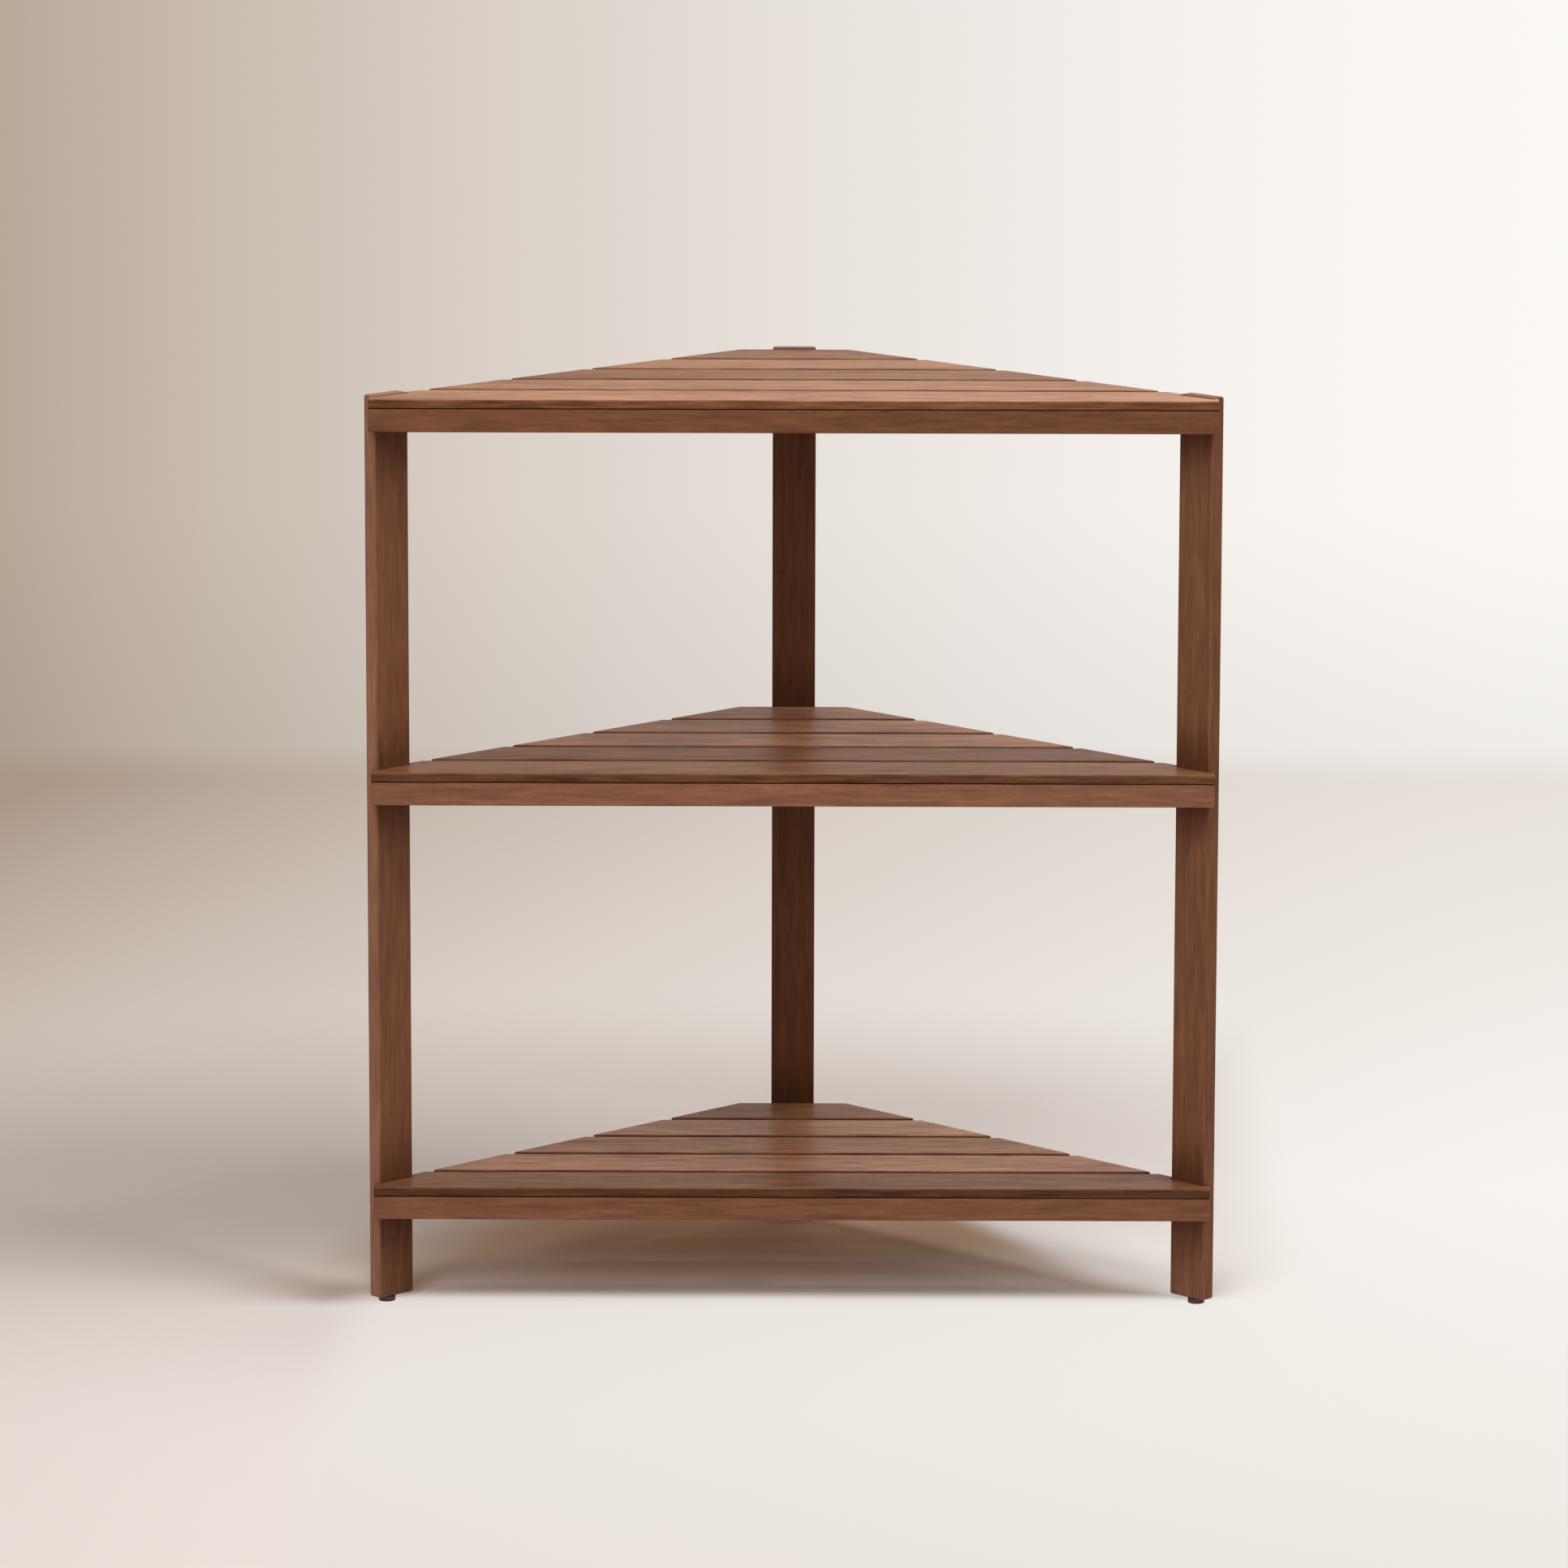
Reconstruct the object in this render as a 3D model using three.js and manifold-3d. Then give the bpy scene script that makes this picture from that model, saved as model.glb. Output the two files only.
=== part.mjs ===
// A three-tier corner stand for plants, in oiled brown hardwood.
//
// Two front legs and one back leg are plain boards. Each front leg stands at 45 degrees, flat against the side
// rail of every tier, behind the overhanging end of the front rail. The back leg stands square to the front,
// behind the last slat. A tier is a triangular frame (front rail, two side rails, back block, centre batten)
// with five slats that are screwed on from below, and one bolt through each leg holds it. The first slat is
// notched round the front legs.
//
// Millimetres, +Z up, front facing -Y. The origin is on the floor, under the middle of the stand.

import * as THREE from 'three';
import { mergeVertices } from 'three/addons/utils/BufferGeometryUtils.js';
import Module from 'manifold-3d';

const wasm = await Module();
wasm.setup();

// ---- Driving dimensions -------------------------------------------------------------------------------------

const overallWidth = 800; // over the front legs
const backEdgeWidth = 106; // of the last slat, along its back edge
const cornerAngle = Math.PI / 4; // each wall side runs at this angle to the front
const fitGap = 0.3; // between pieces that seat on each other

const glideHeight = 5;
const glideDiameter = 16;
const glideForward = 6; // from a front leg's middle line towards the front
const glideEdge = 0.8;
const glideDimple = 5;
const glideDimpleDepth = 0.8;
const nailDiameter = 3;
const nailLength = 14; // into the leg
const nailPoint = 2.5;

const legLength = 864;
const legWidth = 42;
const legThickness = 16;
const legEdge = 2.5;
const legEndEdge = 1.6;
const legProud = 1; // above the top tier

const topHeight = glideHeight + legLength - legProud; // of a tier's top face, over the floor
const middleHeight = 515.5;
const bottomHeight = 117.5;

const slatCount = 5;
const slatGap = 8;
const slatThickness = 8.5;
const slatEdge = 1.2;
const slatEndInset = 9; // from the legs' outer face line to the slanting slat ends, square to them

const railHeight = 22;
const frontRailThickness = 16.5;
const frontEndInset = 5; // from the legs' outer edges to the ends of the front rail and of the first slat
const sideRailThickness = 16;
const backBlockThickness = 22;
const battenWidth = 20;
const railEdge = 1;
const cornerRadius = 2; // the upright corners at the ends of the front rail and of the first slat

const boltHeadDiameter = 12;
const boltHeadHeight = 3.6;
const boltDiameter = 6;
const boltHeadDepth = 0.5; // the head lies this far below the wood
const boltReach = 9; // into the insert
const boltSetback = 7; // from a front leg's middle line towards the back, clear of the dowel
const socketAcross = 4;
const socketDepth = 2.2;
const insertDiameter = 9.5;
const insertLength = 11;

const dowelDiameter = 6;
const dowelDepth = 8; // into each of the two pieces that it joins

const screwHoleDiameter = 4;
const countersinkDiameter = 7.6;
const countersinkDepth = 2.4;
const screwHoleDepth = 5; // into the slat
const firstScrewSetback = 16; // from the first slat's middle line towards the back, clear of the insert

const roundSides = 10; // of a bolt, an insert or a dowel
const glideSides = 20;

// ---- Derived places -----------------------------------------------------------------------------------------

const along = new THREE.Vector2(Math.cos(cornerAngle), Math.sin(cornerAngle)); // up the left side, to the back
const inward = new THREE.Vector2(Math.sin(cornerAngle), -Math.cos(cornerAngle)); // into the stand, square to it

// A rounded corner that points straight sideways reaches this much less than the sharp corner it replaces.
const cornerLoss = (legEdge * Math.SQRT1_2) / 2;

// Depths behind the front face: the leg's outer front corner, then the place where the slanting slat ends leave
// the last slat as wide as it should be at the back.
const legCornerX = -overallWidth / 2 - cornerLoss;
const legCornerDepth = frontRailThickness + fitGap - inward.y * legThickness;
const slantStart = new THREE.Vector2(legCornerX, legCornerDepth).addScaledVector(inward, slatEndInset);
const slantLength = (-backEdgeWidth / 2 - slantStart.x) / along.x;
const slatsDepth = slantStart.y + along.y * slantLength;
const slatWidth = (slatsDepth - (slatCount - 1) * slatGap) / slatCount;
const standDepth = slatsDepth + fitGap + legThickness;
const frontY = -standDepth / 2;

// The left front leg's sharp section corners, in plan: outer front, inner front, inner back.
const legOuterFront = new THREE.Vector2(legCornerX, frontY + legCornerDepth);
const legInnerFront = legOuterFront.clone().addScaledVector(inward, legThickness);
const legInnerBack = legInnerFront.clone().addScaledVector(along, legWidth);
const frontLegCentre = legOuterFront
  .clone()
  .addScaledVector(inward, legThickness / 2)
  .addScaledVector(along, legWidth / 2);
const backLegCentre = new THREE.Vector2(0, frontY + slatsDepth + fitGap + legThickness / 2);

const frontEndX = -overallWidth / 2 + frontEndInset;
const railTopZ = -slatThickness - fitGap; // below the slats' top face, which is a tier's zero height
const railMiddleZ = railTopZ - railHeight / 2;
const railBackY = frontY + frontRailThickness;
const frameFrontY = railBackY + fitGap;
const frameBackY = frontY + slatsDepth;
const blockFrontY = frameBackY - backBlockThickness;
const battenBackY = blockFrontY - fitGap;
const sideRailInset = legThickness + fitGap; // from the legs' outer face line

// X on the left side at depth y, for a line that lies `inset` inside the legs' outer face line.
function sideX(y, inset) {
  const steps = (y - legOuterFront.y - inward.y * inset) / along.y;
  return legOuterFront.x + inward.x * inset + along.x * steps;
}

// The front edge of a slat, counted from 0 at the front.
function slatFrontY(index) {
  return frontY + index * (slatWidth + slatGap);
}

// ---- Materials ----------------------------------------------------------------------------------------------

const wood = (name, color) => new THREE.MeshStandardMaterial({ name, color, roughness: 0.45, metalness: 0 });
const legWood = wood('leg_wood', '#6f4831');
const railWood = wood('rail_wood', '#7a5038');
const slatWood = wood('slat_wood', '#8a6149');
const frameWood = wood('frame_wood', '#734a33');
const dowelWood = new THREE.MeshStandardMaterial({ name: 'dowel_wood', color: '#c8a878', roughness: 0.7 });
const metal = (name, color) => new THREE.MeshStandardMaterial({ name, color, roughness: 0.35, metalness: 1 });
const boltSteel = metal('bolt_steel', '#6b665f');
const insertBrass = metal('insert_brass', '#b09050');
const glideNylon = new THREE.MeshStandardMaterial({ name: 'glide_nylon', color: '#2a1b14', roughness: 0.55 });

// ---- Helpers: solids ----------------------------------------------------------------------------------------

// A geometry as a solid that can be joined and cut.
function solidOf(geometry) {
  const bare = geometry.clone();
  bare.deleteAttribute('normal');
  bare.deleteAttribute('uv');
  const merged = mergeVertices(bare, 1e-4);
  const vertProperties = new Float32Array(merged.attributes.position.array);
  const triVerts = new Uint32Array(merged.index.array);
  return new wasm.Manifold(new wasm.Mesh({ numProp: 3, vertProperties, triVerts }));
}

// A solid back as a geometry.
function geometryOf(solid) {
  const mesh = solid.getMesh();
  const geometry = new THREE.BufferGeometry();
  geometry.setAttribute('position', new THREE.BufferAttribute(mesh.vertProperties, 3));
  geometry.setIndex(new THREE.BufferAttribute(mesh.triVerts, 1));
  geometry.computeVertexNormals();
  return geometry;
}

function cutAll(geometry, tools) {
  if (tools.length === 0) return geometry;
  return geometryOf(tools.reduce((solid, tool) => solid.subtract(solidOf(tool)), solidOf(geometry)));
}

// ---- Helpers: shapes ----------------------------------------------------------------------------------------

// A closed outline through points, each corner rounded to its radius (a third value on the point, or 0).
function outline(points) {
  const shape = new THREE.Shape();
  points.forEach(([x, y, radius = 0], i) => {
    const here = new THREE.Vector2(x, y);
    const before = points.at(i - 1);
    const after = points[(i + 1) % points.length];
    const start = new THREE.Vector2(before[0], before[1]).sub(here).setLength(radius).add(here);
    const end = new THREE.Vector2(after[0], after[1]).sub(here).setLength(radius).add(here);
    if (i === 0) shape.moveTo(start.x, start.y);
    else shape.lineTo(start.x, start.y);
    if (radius > 0) shape.quadraticCurveTo(x, y, end.x, end.y);
  });
  shape.closePath();
  return shape;
}

// A board cut to a plan outline, with its top at z = 0 and its top and bottom edges eased.
function board(points, height, edge) {
  const geometry = new THREE.ExtrudeGeometry(outline(points), {
    depth: height - 2 * edge,
    curveSegments: 4,
    bevelEnabled: true,
    bevelThickness: edge,
    bevelSize: edge,
    bevelOffset: -edge,
    bevelSegments: 2,
  });
  return geometry.translate(0, 0, edge - height);
}

// A turned shape about its own axis. The profile is [radius, distance along the axis], from tip to head.
function turned(profile, sides = roundSides) {
  const points = profile.map(([radius, distance]) => new THREE.Vector2(radius, distance));
  return new THREE.LatheGeometry(points, sides);
}

// A turned shape set so that distances run from `origin` along `direction`.
function aimed(geometry, origin, direction) {
  const turn = new THREE.Quaternion().setFromUnitVectors(new THREE.Vector3(0, 1, 0), direction);
  return geometry.clone().applyQuaternion(turn).translate(origin.x, origin.y, origin.z);
}

function rod(diameter, from, to) {
  const radius = diameter / 2;
  return turned([[0, from], [radius, from], [radius, to], [0, to]]);
}

const upward = new THREE.Vector3(0, 0, 1);
const toBack = new THREE.Vector3(0, 1, 0);

function mirrored(points, side) {
  if (side === 'left') return points;
  return points.map(([x, ...rest]) => [-x, ...rest]).reverse();
}

// ---- Fixings ------------------------------------------------------------------------------------------------
// A fixing and its hole are turned to the same profile distances, then set at the same origin and direction.

// Leg bolt: the origin is on the leg's outer face and distances run inwards.
const jointPlane = legThickness + fitGap;
const headEnd = boltHeadDepth + boltHeadHeight;
const boltEnd = jointPlane + boltReach;

function boltShape() {
  const head = boltHeadDiameter / 2;
  const shank = boltDiameter / 2;
  const neck = [[head, headEnd], [shank, headEnd]];
  const body = turned([[0, boltHeadDepth], [head, boltHeadDepth], ...neck, [shank, boltEnd], [0, boltEnd]]);
  const corner = socketAcross / Math.sqrt(3);
  const floor = boltHeadDepth + socketDepth;
  const socket = turned([[0, boltHeadDepth - 1], [corner, boltHeadDepth - 1], [corner, floor], [0, floor]], 6);
  return cutAll(body, [socket]);
}

function boltHole() {
  const head = boltHeadDiameter / 2 + fitGap;
  const shank = boltDiameter / 2 + fitGap;
  const seat = headEnd + fitGap;
  return turned([[0, -1], [head, -1], [head, seat], [shank, seat], [shank, jointPlane], [0, jointPlane]]);
}

function insertShape() {
  const outer = insertDiameter / 2;
  const inner = boltDiameter / 2 + fitGap;
  const start = jointPlane + fitGap;
  const end = start + insertLength;
  return turned([[inner, start], [outer, start], [outer, end], [inner, end], [inner, start]]);
}

function insertHole() {
  return rod(insertDiameter + 2 * fitGap, jointPlane - 1, jointPlane + 2 * fitGap + insertLength);
}

// Dowel: the origin is on the front face of the rear piece and distances run into it.
const dowelShape = () => rod(dowelDiameter, -dowelDepth, dowelDepth - fitGap);
const dowelHole = () => rod(dowelDiameter + 2 * fitGap, -fitGap - dowelDepth, dowelDepth);

// Slat screw: the origin is on the underside of a rail and distances run up.
function screwHole() {
  const head = countersinkDiameter / 2;
  const shank = screwHoleDiameter / 2;
  const end = railHeight + fitGap + screwHoleDepth;
  return turned([[0, -1], [head, -1], [head, 0], [shank, countersinkDepth], [shank, end], [0, end]], 8);
}

// ---- Where the fixings of one tier go -----------------------------------------------------------------------

const mirror = { left: 1, right: -1 };

// Which way a leg's outer face looks, and where its bolt goes through that face.
const legJoints = { back: { outward: toBack, x: 0, y: backLegCentre.y + legThickness / 2 } };
for (const side of ['left', 'right']) {
  const face = frontLegCentre.clone().addScaledVector(inward, -legThickness / 2);
  const point = face.addScaledVector(along, boltSetback);
  const outward = new THREE.Vector3(-mirror[side] * inward.x, -inward.y, 0);
  legJoints[side] = { outward, x: mirror[side] * point.x, y: point.y };
}
const boltPlaces = {};
for (const [leg, { outward, x, y }] of Object.entries(legJoints)) {
  boltPlaces[leg] = { origin: new THREE.Vector3(x, y, railMiddleZ), direction: outward.clone().negate() };
}

// One dowel joins each side rail to the front rail, in the middle of the side rail's end.
const dowelMiddleY = frameFrontY + dowelDepth / 2;
const dowelX = sideX(dowelMiddleY, sideRailInset + sideRailThickness / 2);
const dowelPlaces = {};
for (const side of ['left', 'right']) {
  dowelPlaces[side] = { origin: new THREE.Vector3(mirror[side] * dowelX, frameFrontY, railMiddleZ), direction: toBack };
}

// Each slat has a screw hole over each side rail and one over the batten.
const screwPlaces = [];
for (let i = 0; i < slatCount; i += 1) {
  const y = slatFrontY(i) + slatWidth / 2;
  const railY = i === 0 ? y + firstScrewSetback : y;
  const railX = sideX(railY, sideRailInset + sideRailThickness / 2);
  for (const [x, depth] of [[railX, railY], [-railX, railY], [0, y]]) {
    screwPlaces.push({ origin: new THREE.Vector3(x, depth, railTopZ - railHeight), direction: upward });
  }
}

const placed = (shape, { origin, direction }) => aimed(shape(), origin, direction);
const screwHoles = screwPlaces.map((place) => placed(screwHole, place));
const dowelHoles = Object.values(dowelPlaces).map((place) => placed(dowelHole, place));
const insertHoles = Object.values(boltPlaces).map((place) => placed(insertHole, place));
const frameHoles = [...screwHoles, ...dowelHoles, ...insertHoles];

// Keeps the tools that reach a piece, so that only these are cut from it.
function reaching(geometry, tools) {
  geometry.computeBoundingBox();
  return tools.filter((tool) => {
    tool.computeBoundingBox();
    return tool.boundingBox.intersectsBox(geometry.boundingBox);
  });
}

// ---- Pieces -------------------------------------------------------------------------------------------------

function namedMesh(name, geometry, material) {
  const mesh = new THREE.Mesh(geometry, material);
  mesh.name = name;
  return mesh;
}

const tiers = { top: topHeight, middle: middleHeight, bottom: bottomHeight };

// A leg stands with its foot at z = 0, its width along X and its outer face towards +Y.
function legGeometry(boltX, glideX) {
  const x = legWidth / 2;
  const y = legThickness / 2;
  const section = [[-x, -y, legEdge], [x, -y, legEdge], [x, y, legEdge], [-x, y, legEdge]];
  const blank = board(section, legLength, legEndEdge).translate(0, 0, legLength);
  const nailOrigin = new THREE.Vector3(glideX, 0, 0);
  const tools = [placed(nailHole, { origin: nailOrigin, direction: upward })];
  for (const height of Object.values(tiers)) {
    const origin = new THREE.Vector3(boltX, y, height - glideHeight + railMiddleZ);
    tools.push(placed(boltHole, { origin, direction: toBack.clone().negate() }));
  }
  return cutAll(blank, tools);
}

const nailHole = () => rod(nailDiameter + 2 * fitGap, -1, nailLength + fitGap);

// A glide stands on the floor, and its nail points up.
function glideGeometry() {
  const radius = glideDiameter / 2;
  const nail = nailDiameter / 2;
  const top = glideHeight - fitGap;
  const tip = glideHeight + nailLength;
  const dimple = [[0, glideDimpleDepth], [glideDimple / 2, glideDimpleDepth], [glideDimple / 2, 0]];
  const rim = [[radius - glideEdge, 0], [radius, glideEdge], [radius, top - glideEdge], [radius - glideEdge, top]];
  const shank = [[nail, top], [nail, tip - nailPoint], [0, tip]];
  return turned([...dimple, ...rim, ...shank], glideSides).rotateX(Math.PI / 2);
}

// `backSign` says which way along a leg's width the back of the stand lies.
const legPlaces = {
  front_left: { x: frontLegCentre.x, y: frontLegCentre.y, turn: cornerAngle, backSign: 1 },
  front_right: { x: -frontLegCentre.x, y: frontLegCentre.y, turn: -cornerAngle, backSign: -1 },
  back: { x: backLegCentre.x, y: backLegCentre.y, turn: 0, backSign: 0 },
};

function legParts() {
  const group = new THREE.Group();
  for (const [leg, { x, y, turn, backSign }] of Object.entries(legPlaces)) {
    const glideX = -backSign * glideForward;
    const standing = new THREE.Group();
    standing.position.set(x, y, 0);
    standing.rotation.z = turn;
    const post = namedMesh(`leg_${leg}`, legGeometry(backSign * boltSetback, glideX), legWood);
    post.position.z = glideHeight;
    const glide = namedMesh(`glide_${leg}`, glideGeometry(), glideNylon);
    glide.position.x = glideX;
    standing.add(post, glide);
    group.add(standing);
  }
  return group;
}

// The first slat laps in front of the front legs and is notched round them; the others end on the slanting line.
function slatOutline(index) {
  const y0 = slatFrontY(index);
  const y1 = y0 + slatWidth;
  const endX = (y) => sideX(y, slatEndInset);
  if (index > 0) return [[endX(y0), y0], [-endX(y0), y0], [-endX(y1), y1], [endX(y1), y1]];
  const face = legInnerFront.clone().addScaledVector(inward, fitGap).addScaledVector(along, -fitGap);
  const backCorner = legInnerBack.clone().addScaledVector(inward, fitGap).addScaledVector(along, fitGap);
  const backEnd = backCorner.clone().addScaledVector(inward, slatEndInset - legThickness - fitGap);
  const tipY = face.y - ((face.x - frontEndX) * inward.y) / inward.x;
  const notch = [backEnd, backCorner, face].map(({ x, y }) => [x, y]);
  const leftSide = [[endX(y1), y1], ...notch, [frontEndX, tipY], [frontEndX, y0, cornerRadius]];
  return [...leftSide, ...mirrored(leftSide, 'right')];
}

function slatGeometry(index) {
  const blank = board(slatOutline(index), slatThickness, slatEdge);
  return cutAll(blank, reaching(blank, screwHoles));
}

function frontRailGeometry() {
  const x = -frontEndX;
  const front = [[-x, frontY, cornerRadius], [x, frontY, cornerRadius]];
  const back = [[x, railBackY, cornerRadius], [-x, railBackY, cornerRadius]];
  return frameBoard([...front, ...back]);
}

function sideRailGeometry(side) {
  const outer = sideRailInset;
  const inner = sideRailInset + sideRailThickness;
  const plan = [
    [sideX(frameFrontY, outer), frameFrontY],
    [sideX(frameFrontY, inner), frameFrontY],
    [sideX(frameBackY, inner), frameBackY],
    [sideX(frameBackY, outer), frameBackY],
  ];
  return frameBoard(mirrored(plan, side));
}

function backBlockGeometry() {
  const inset = sideRailInset + sideRailThickness + fitGap;
  const front = sideX(blockFrontY, inset);
  const back = sideX(frameBackY, inset);
  return frameBoard([[front, blockFrontY], [-front, blockFrontY], [-back, frameBackY], [back, frameBackY]]);
}

function battenGeometry() {
  const x = battenWidth / 2;
  return frameBoard([[-x, frameFrontY], [x, frameFrontY], [x, battenBackY], [-x, battenBackY]]);
}

function frameBoard(plan) {
  const blank = board(plan, railHeight, railEdge).translate(0, 0, railTopZ);
  return cutAll(blank, reaching(blank, frameHoles));
}

// One tier, with the top face of its slats at z = 0.
function tierParts(tier) {
  const group = new THREE.Group();
  const add = (name, geometry, material) => group.add(namedMesh(`${tier}_${name}`, geometry, material));
  add('front_rail', frontRailGeometry(), railWood);
  add('back_block', backBlockGeometry(), frameWood);
  add('centre_batten', battenGeometry(), frameWood);
  for (let i = 0; i < slatCount; i += 1) add(`slat_${i + 1}`, slatGeometry(i), slatWood);
  for (const side of ['left', 'right']) {
    add(`side_rail_${side}`, sideRailGeometry(side), frameWood);
    add(`dowel_${side}`, placed(dowelShape, dowelPlaces[side]), dowelWood);
  }
  for (const [leg, place] of Object.entries(boltPlaces)) {
    add(`bolt_${leg}`, placed(boltShape, place), boltSteel);
    add(`insert_${leg}`, placed(insertShape, place), insertBrass);
  }
  return group;
}

const stand = new THREE.Group();
stand.add(legParts());
for (const [tier, height] of Object.entries(tiers)) {
  const group = tierParts(tier);
  group.position.z = height;
  stand.add(group);
}

export default stand;
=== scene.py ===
# %% [markdown]
# # A three-tier corner stand for plants
#
# The stand is made of plain brown hardwood boards: two front legs that stand at 45 degrees, one back leg, and
# three triangular shelves of slats. The construction model is already packed, and it gives every piece its
# size and place. This notebook gives the stand its looks. Everything is in metres, with +Z up and the front
# facing -Y, so a piece that is made here lands where the construction says.

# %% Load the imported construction
import math

import bmesh
import bpy
from mathutils import Matrix, Vector


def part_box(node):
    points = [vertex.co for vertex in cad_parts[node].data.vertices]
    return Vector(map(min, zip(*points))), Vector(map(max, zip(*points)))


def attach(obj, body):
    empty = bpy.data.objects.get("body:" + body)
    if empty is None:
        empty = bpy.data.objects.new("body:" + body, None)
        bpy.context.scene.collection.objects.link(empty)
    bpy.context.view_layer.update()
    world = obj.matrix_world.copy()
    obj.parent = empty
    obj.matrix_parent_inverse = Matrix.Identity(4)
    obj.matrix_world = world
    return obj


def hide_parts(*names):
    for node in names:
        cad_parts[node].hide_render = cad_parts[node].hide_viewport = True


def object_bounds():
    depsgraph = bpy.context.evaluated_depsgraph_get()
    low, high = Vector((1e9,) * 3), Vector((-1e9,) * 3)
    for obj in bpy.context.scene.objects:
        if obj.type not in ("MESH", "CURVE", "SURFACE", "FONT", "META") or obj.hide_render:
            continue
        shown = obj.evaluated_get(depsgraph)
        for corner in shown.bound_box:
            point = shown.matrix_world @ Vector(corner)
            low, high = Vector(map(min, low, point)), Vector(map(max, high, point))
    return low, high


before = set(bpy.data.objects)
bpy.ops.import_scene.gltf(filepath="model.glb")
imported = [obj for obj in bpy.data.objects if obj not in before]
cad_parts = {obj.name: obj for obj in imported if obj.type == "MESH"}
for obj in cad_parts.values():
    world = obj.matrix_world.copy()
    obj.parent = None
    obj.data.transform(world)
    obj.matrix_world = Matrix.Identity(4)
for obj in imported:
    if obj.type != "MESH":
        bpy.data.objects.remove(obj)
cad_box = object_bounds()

MM = 0.001
TIERS = ("top", "middle", "bottom")
print("nodes:", len(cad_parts), "box:", cad_box)

# %% [markdown]
# ## The camera
#
# The photograph was taken from far away with a long lens, a little above the stand. The lens, the place and
# the three small turns below come from fitting the stand's straight edges to the photograph, so the render
# can be laid over it.

# %% Camera
SENSOR = 36.0
FOCAL_LENGTH = 183.77
CAMERA_PLACE = Vector((0.0109, -7.5489, 1.8835))
PITCH_DOWN = 0.1850
YAW_LEFT = 0.0026
ROLL = 0.0024


def add_camera():
    data = bpy.data.cameras.new("camera")
    data.sensor_width = SENSOR
    data.lens = FOCAL_LENGTH
    data.clip_end = 100
    camera = bpy.data.objects.new("camera", data)
    turn = Matrix.Rotation(YAW_LEFT, 4, "Z") @ Matrix.Rotation(math.pi / 2 - PITCH_DOWN, 4, "X")
    camera.matrix_world = Matrix.Translation(CAMERA_PLACE) @ turn @ Matrix.Rotation(ROLL, 4, "Z")
    bpy.context.scene.collection.objects.link(camera)
    bpy.context.scene.camera = camera


add_camera()
print("camera at", tuple(round(v, 3) for v in CAMERA_PLACE))

# %% [markdown]
# ## Reading the boards' places from the construction
#
# A board is described by the box around it. The slats of one shelf get shorter towards the back, because
# their ends follow the two walls of the room's corner. Each end moves in by as much as the slat lies further
# back.

# %% Sizes that the construction gives
LEG_WIDTH = 42 * MM
LEG_THICKNESS = 16 * MM
SLATS = 5


def span(node):
    """The lowest and highest corner of a construction node, as vectors."""
    low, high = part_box(node)
    return Vector(low), Vector(high)


def centre(node):
    low, high = span(node)
    return (low + high) / 2


slat_low, slat_high = span("top_slat_2")
slat_width = slat_high.y - slat_low.y
slat_gap = span("top_slat_3")[0].y - slat_high.y
slat_thickness = slat_high.z - slat_low.z
for measure, value in {"width": slat_width, "gap": slat_gap, "thickness": slat_thickness}.items():
    print(f"slat {measure} {value / MM:.1f} mm")

# %% [markdown]
# ## Helpers for shader and geometry trees
#
# Every tree in this notebook is built by the same three small steps: add a node, set its plain settings, and
# connect it. These helpers keep the trees short enough to read.


# %% Helpers for trees
def add_node(tree, kind, settings=None, inputs=None):
    """Adds a node. Settings are its properties; inputs are values, or sockets to connect."""
    node = tree.nodes.new(kind)
    for name, value in (settings or {}).items():
        setattr(node, name, value)
    for name, value in (inputs or {}).items():
        if isinstance(value, bpy.types.NodeSocket):
            tree.links.new(value, node.inputs[name])
        else:
            node.inputs[name].default_value = value
    return node


def add_math(tree, operation, first, second=0.0, third=None):
    inputs = {0: first, 1: second}
    if third is not None:
        inputs[2] = third
    return add_node(tree, "ShaderNodeMath", {"operation": operation}, inputs).outputs[0]


def add_vector_math(tree, operation, first, second):
    inputs = {0: first, 1: second}
    return add_node(tree, "ShaderNodeVectorMath", {"operation": operation}, inputs).outputs[0]


def combine(tree, **parts):
    return add_node(tree, "ShaderNodeCombineXYZ", {}, parts).outputs[0]


def split(tree, vector):
    return add_node(tree, "ShaderNodeSeparateXYZ", {}, {0: vector}).outputs


def fold(tree, operation, *values):
    """One operation over several values, such as their product or the largest of them."""
    folded = values[0]
    for value in values[1:]:
        folded = add_math(tree, operation, folded, value)
    return folded


def product(tree, *values):
    return fold(tree, "MULTIPLY", *values)


def largest(tree, *values):
    return fold(tree, "MAXIMUM", *values)


def plus(tree, first, second):
    return add_math(tree, "ADD", first, second)


def minus(tree, first, second):
    return add_math(tree, "SUBTRACT", first, second)


def scale_add(tree, value, factor, start):
    """The value times the factor, plus the start."""
    return add_math(tree, "MULTIPLY_ADD", value, factor, start)


def remap(tree, value, start, end, low=0.0, high=1.0, kind="LINEAR"):
    """Carries a value from one range over to another, and stops at its ends."""
    ends = {"Value": value, "From Min": start, "From Max": end, "To Min": low, "To Max": high}
    return add_node(tree, "ShaderNodeMapRange", {"interpolation_type": kind}, ends).outputs[0]


def smooth_step(tree, value, start, end, low=0.0, high=1.0):
    """A remap with soft ends. A start that lies above the end turns the step round."""
    return remap(tree, value, start, end, low, high, "SMOOTHSTEP")


def mix_colours(tree, factor, first, second):
    inputs = {"Factor": factor, "A": first, "B": second}
    return add_node(tree, "ShaderNodeMix", {"data_type": "RGBA"}, inputs).outputs["Result"]


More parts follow.
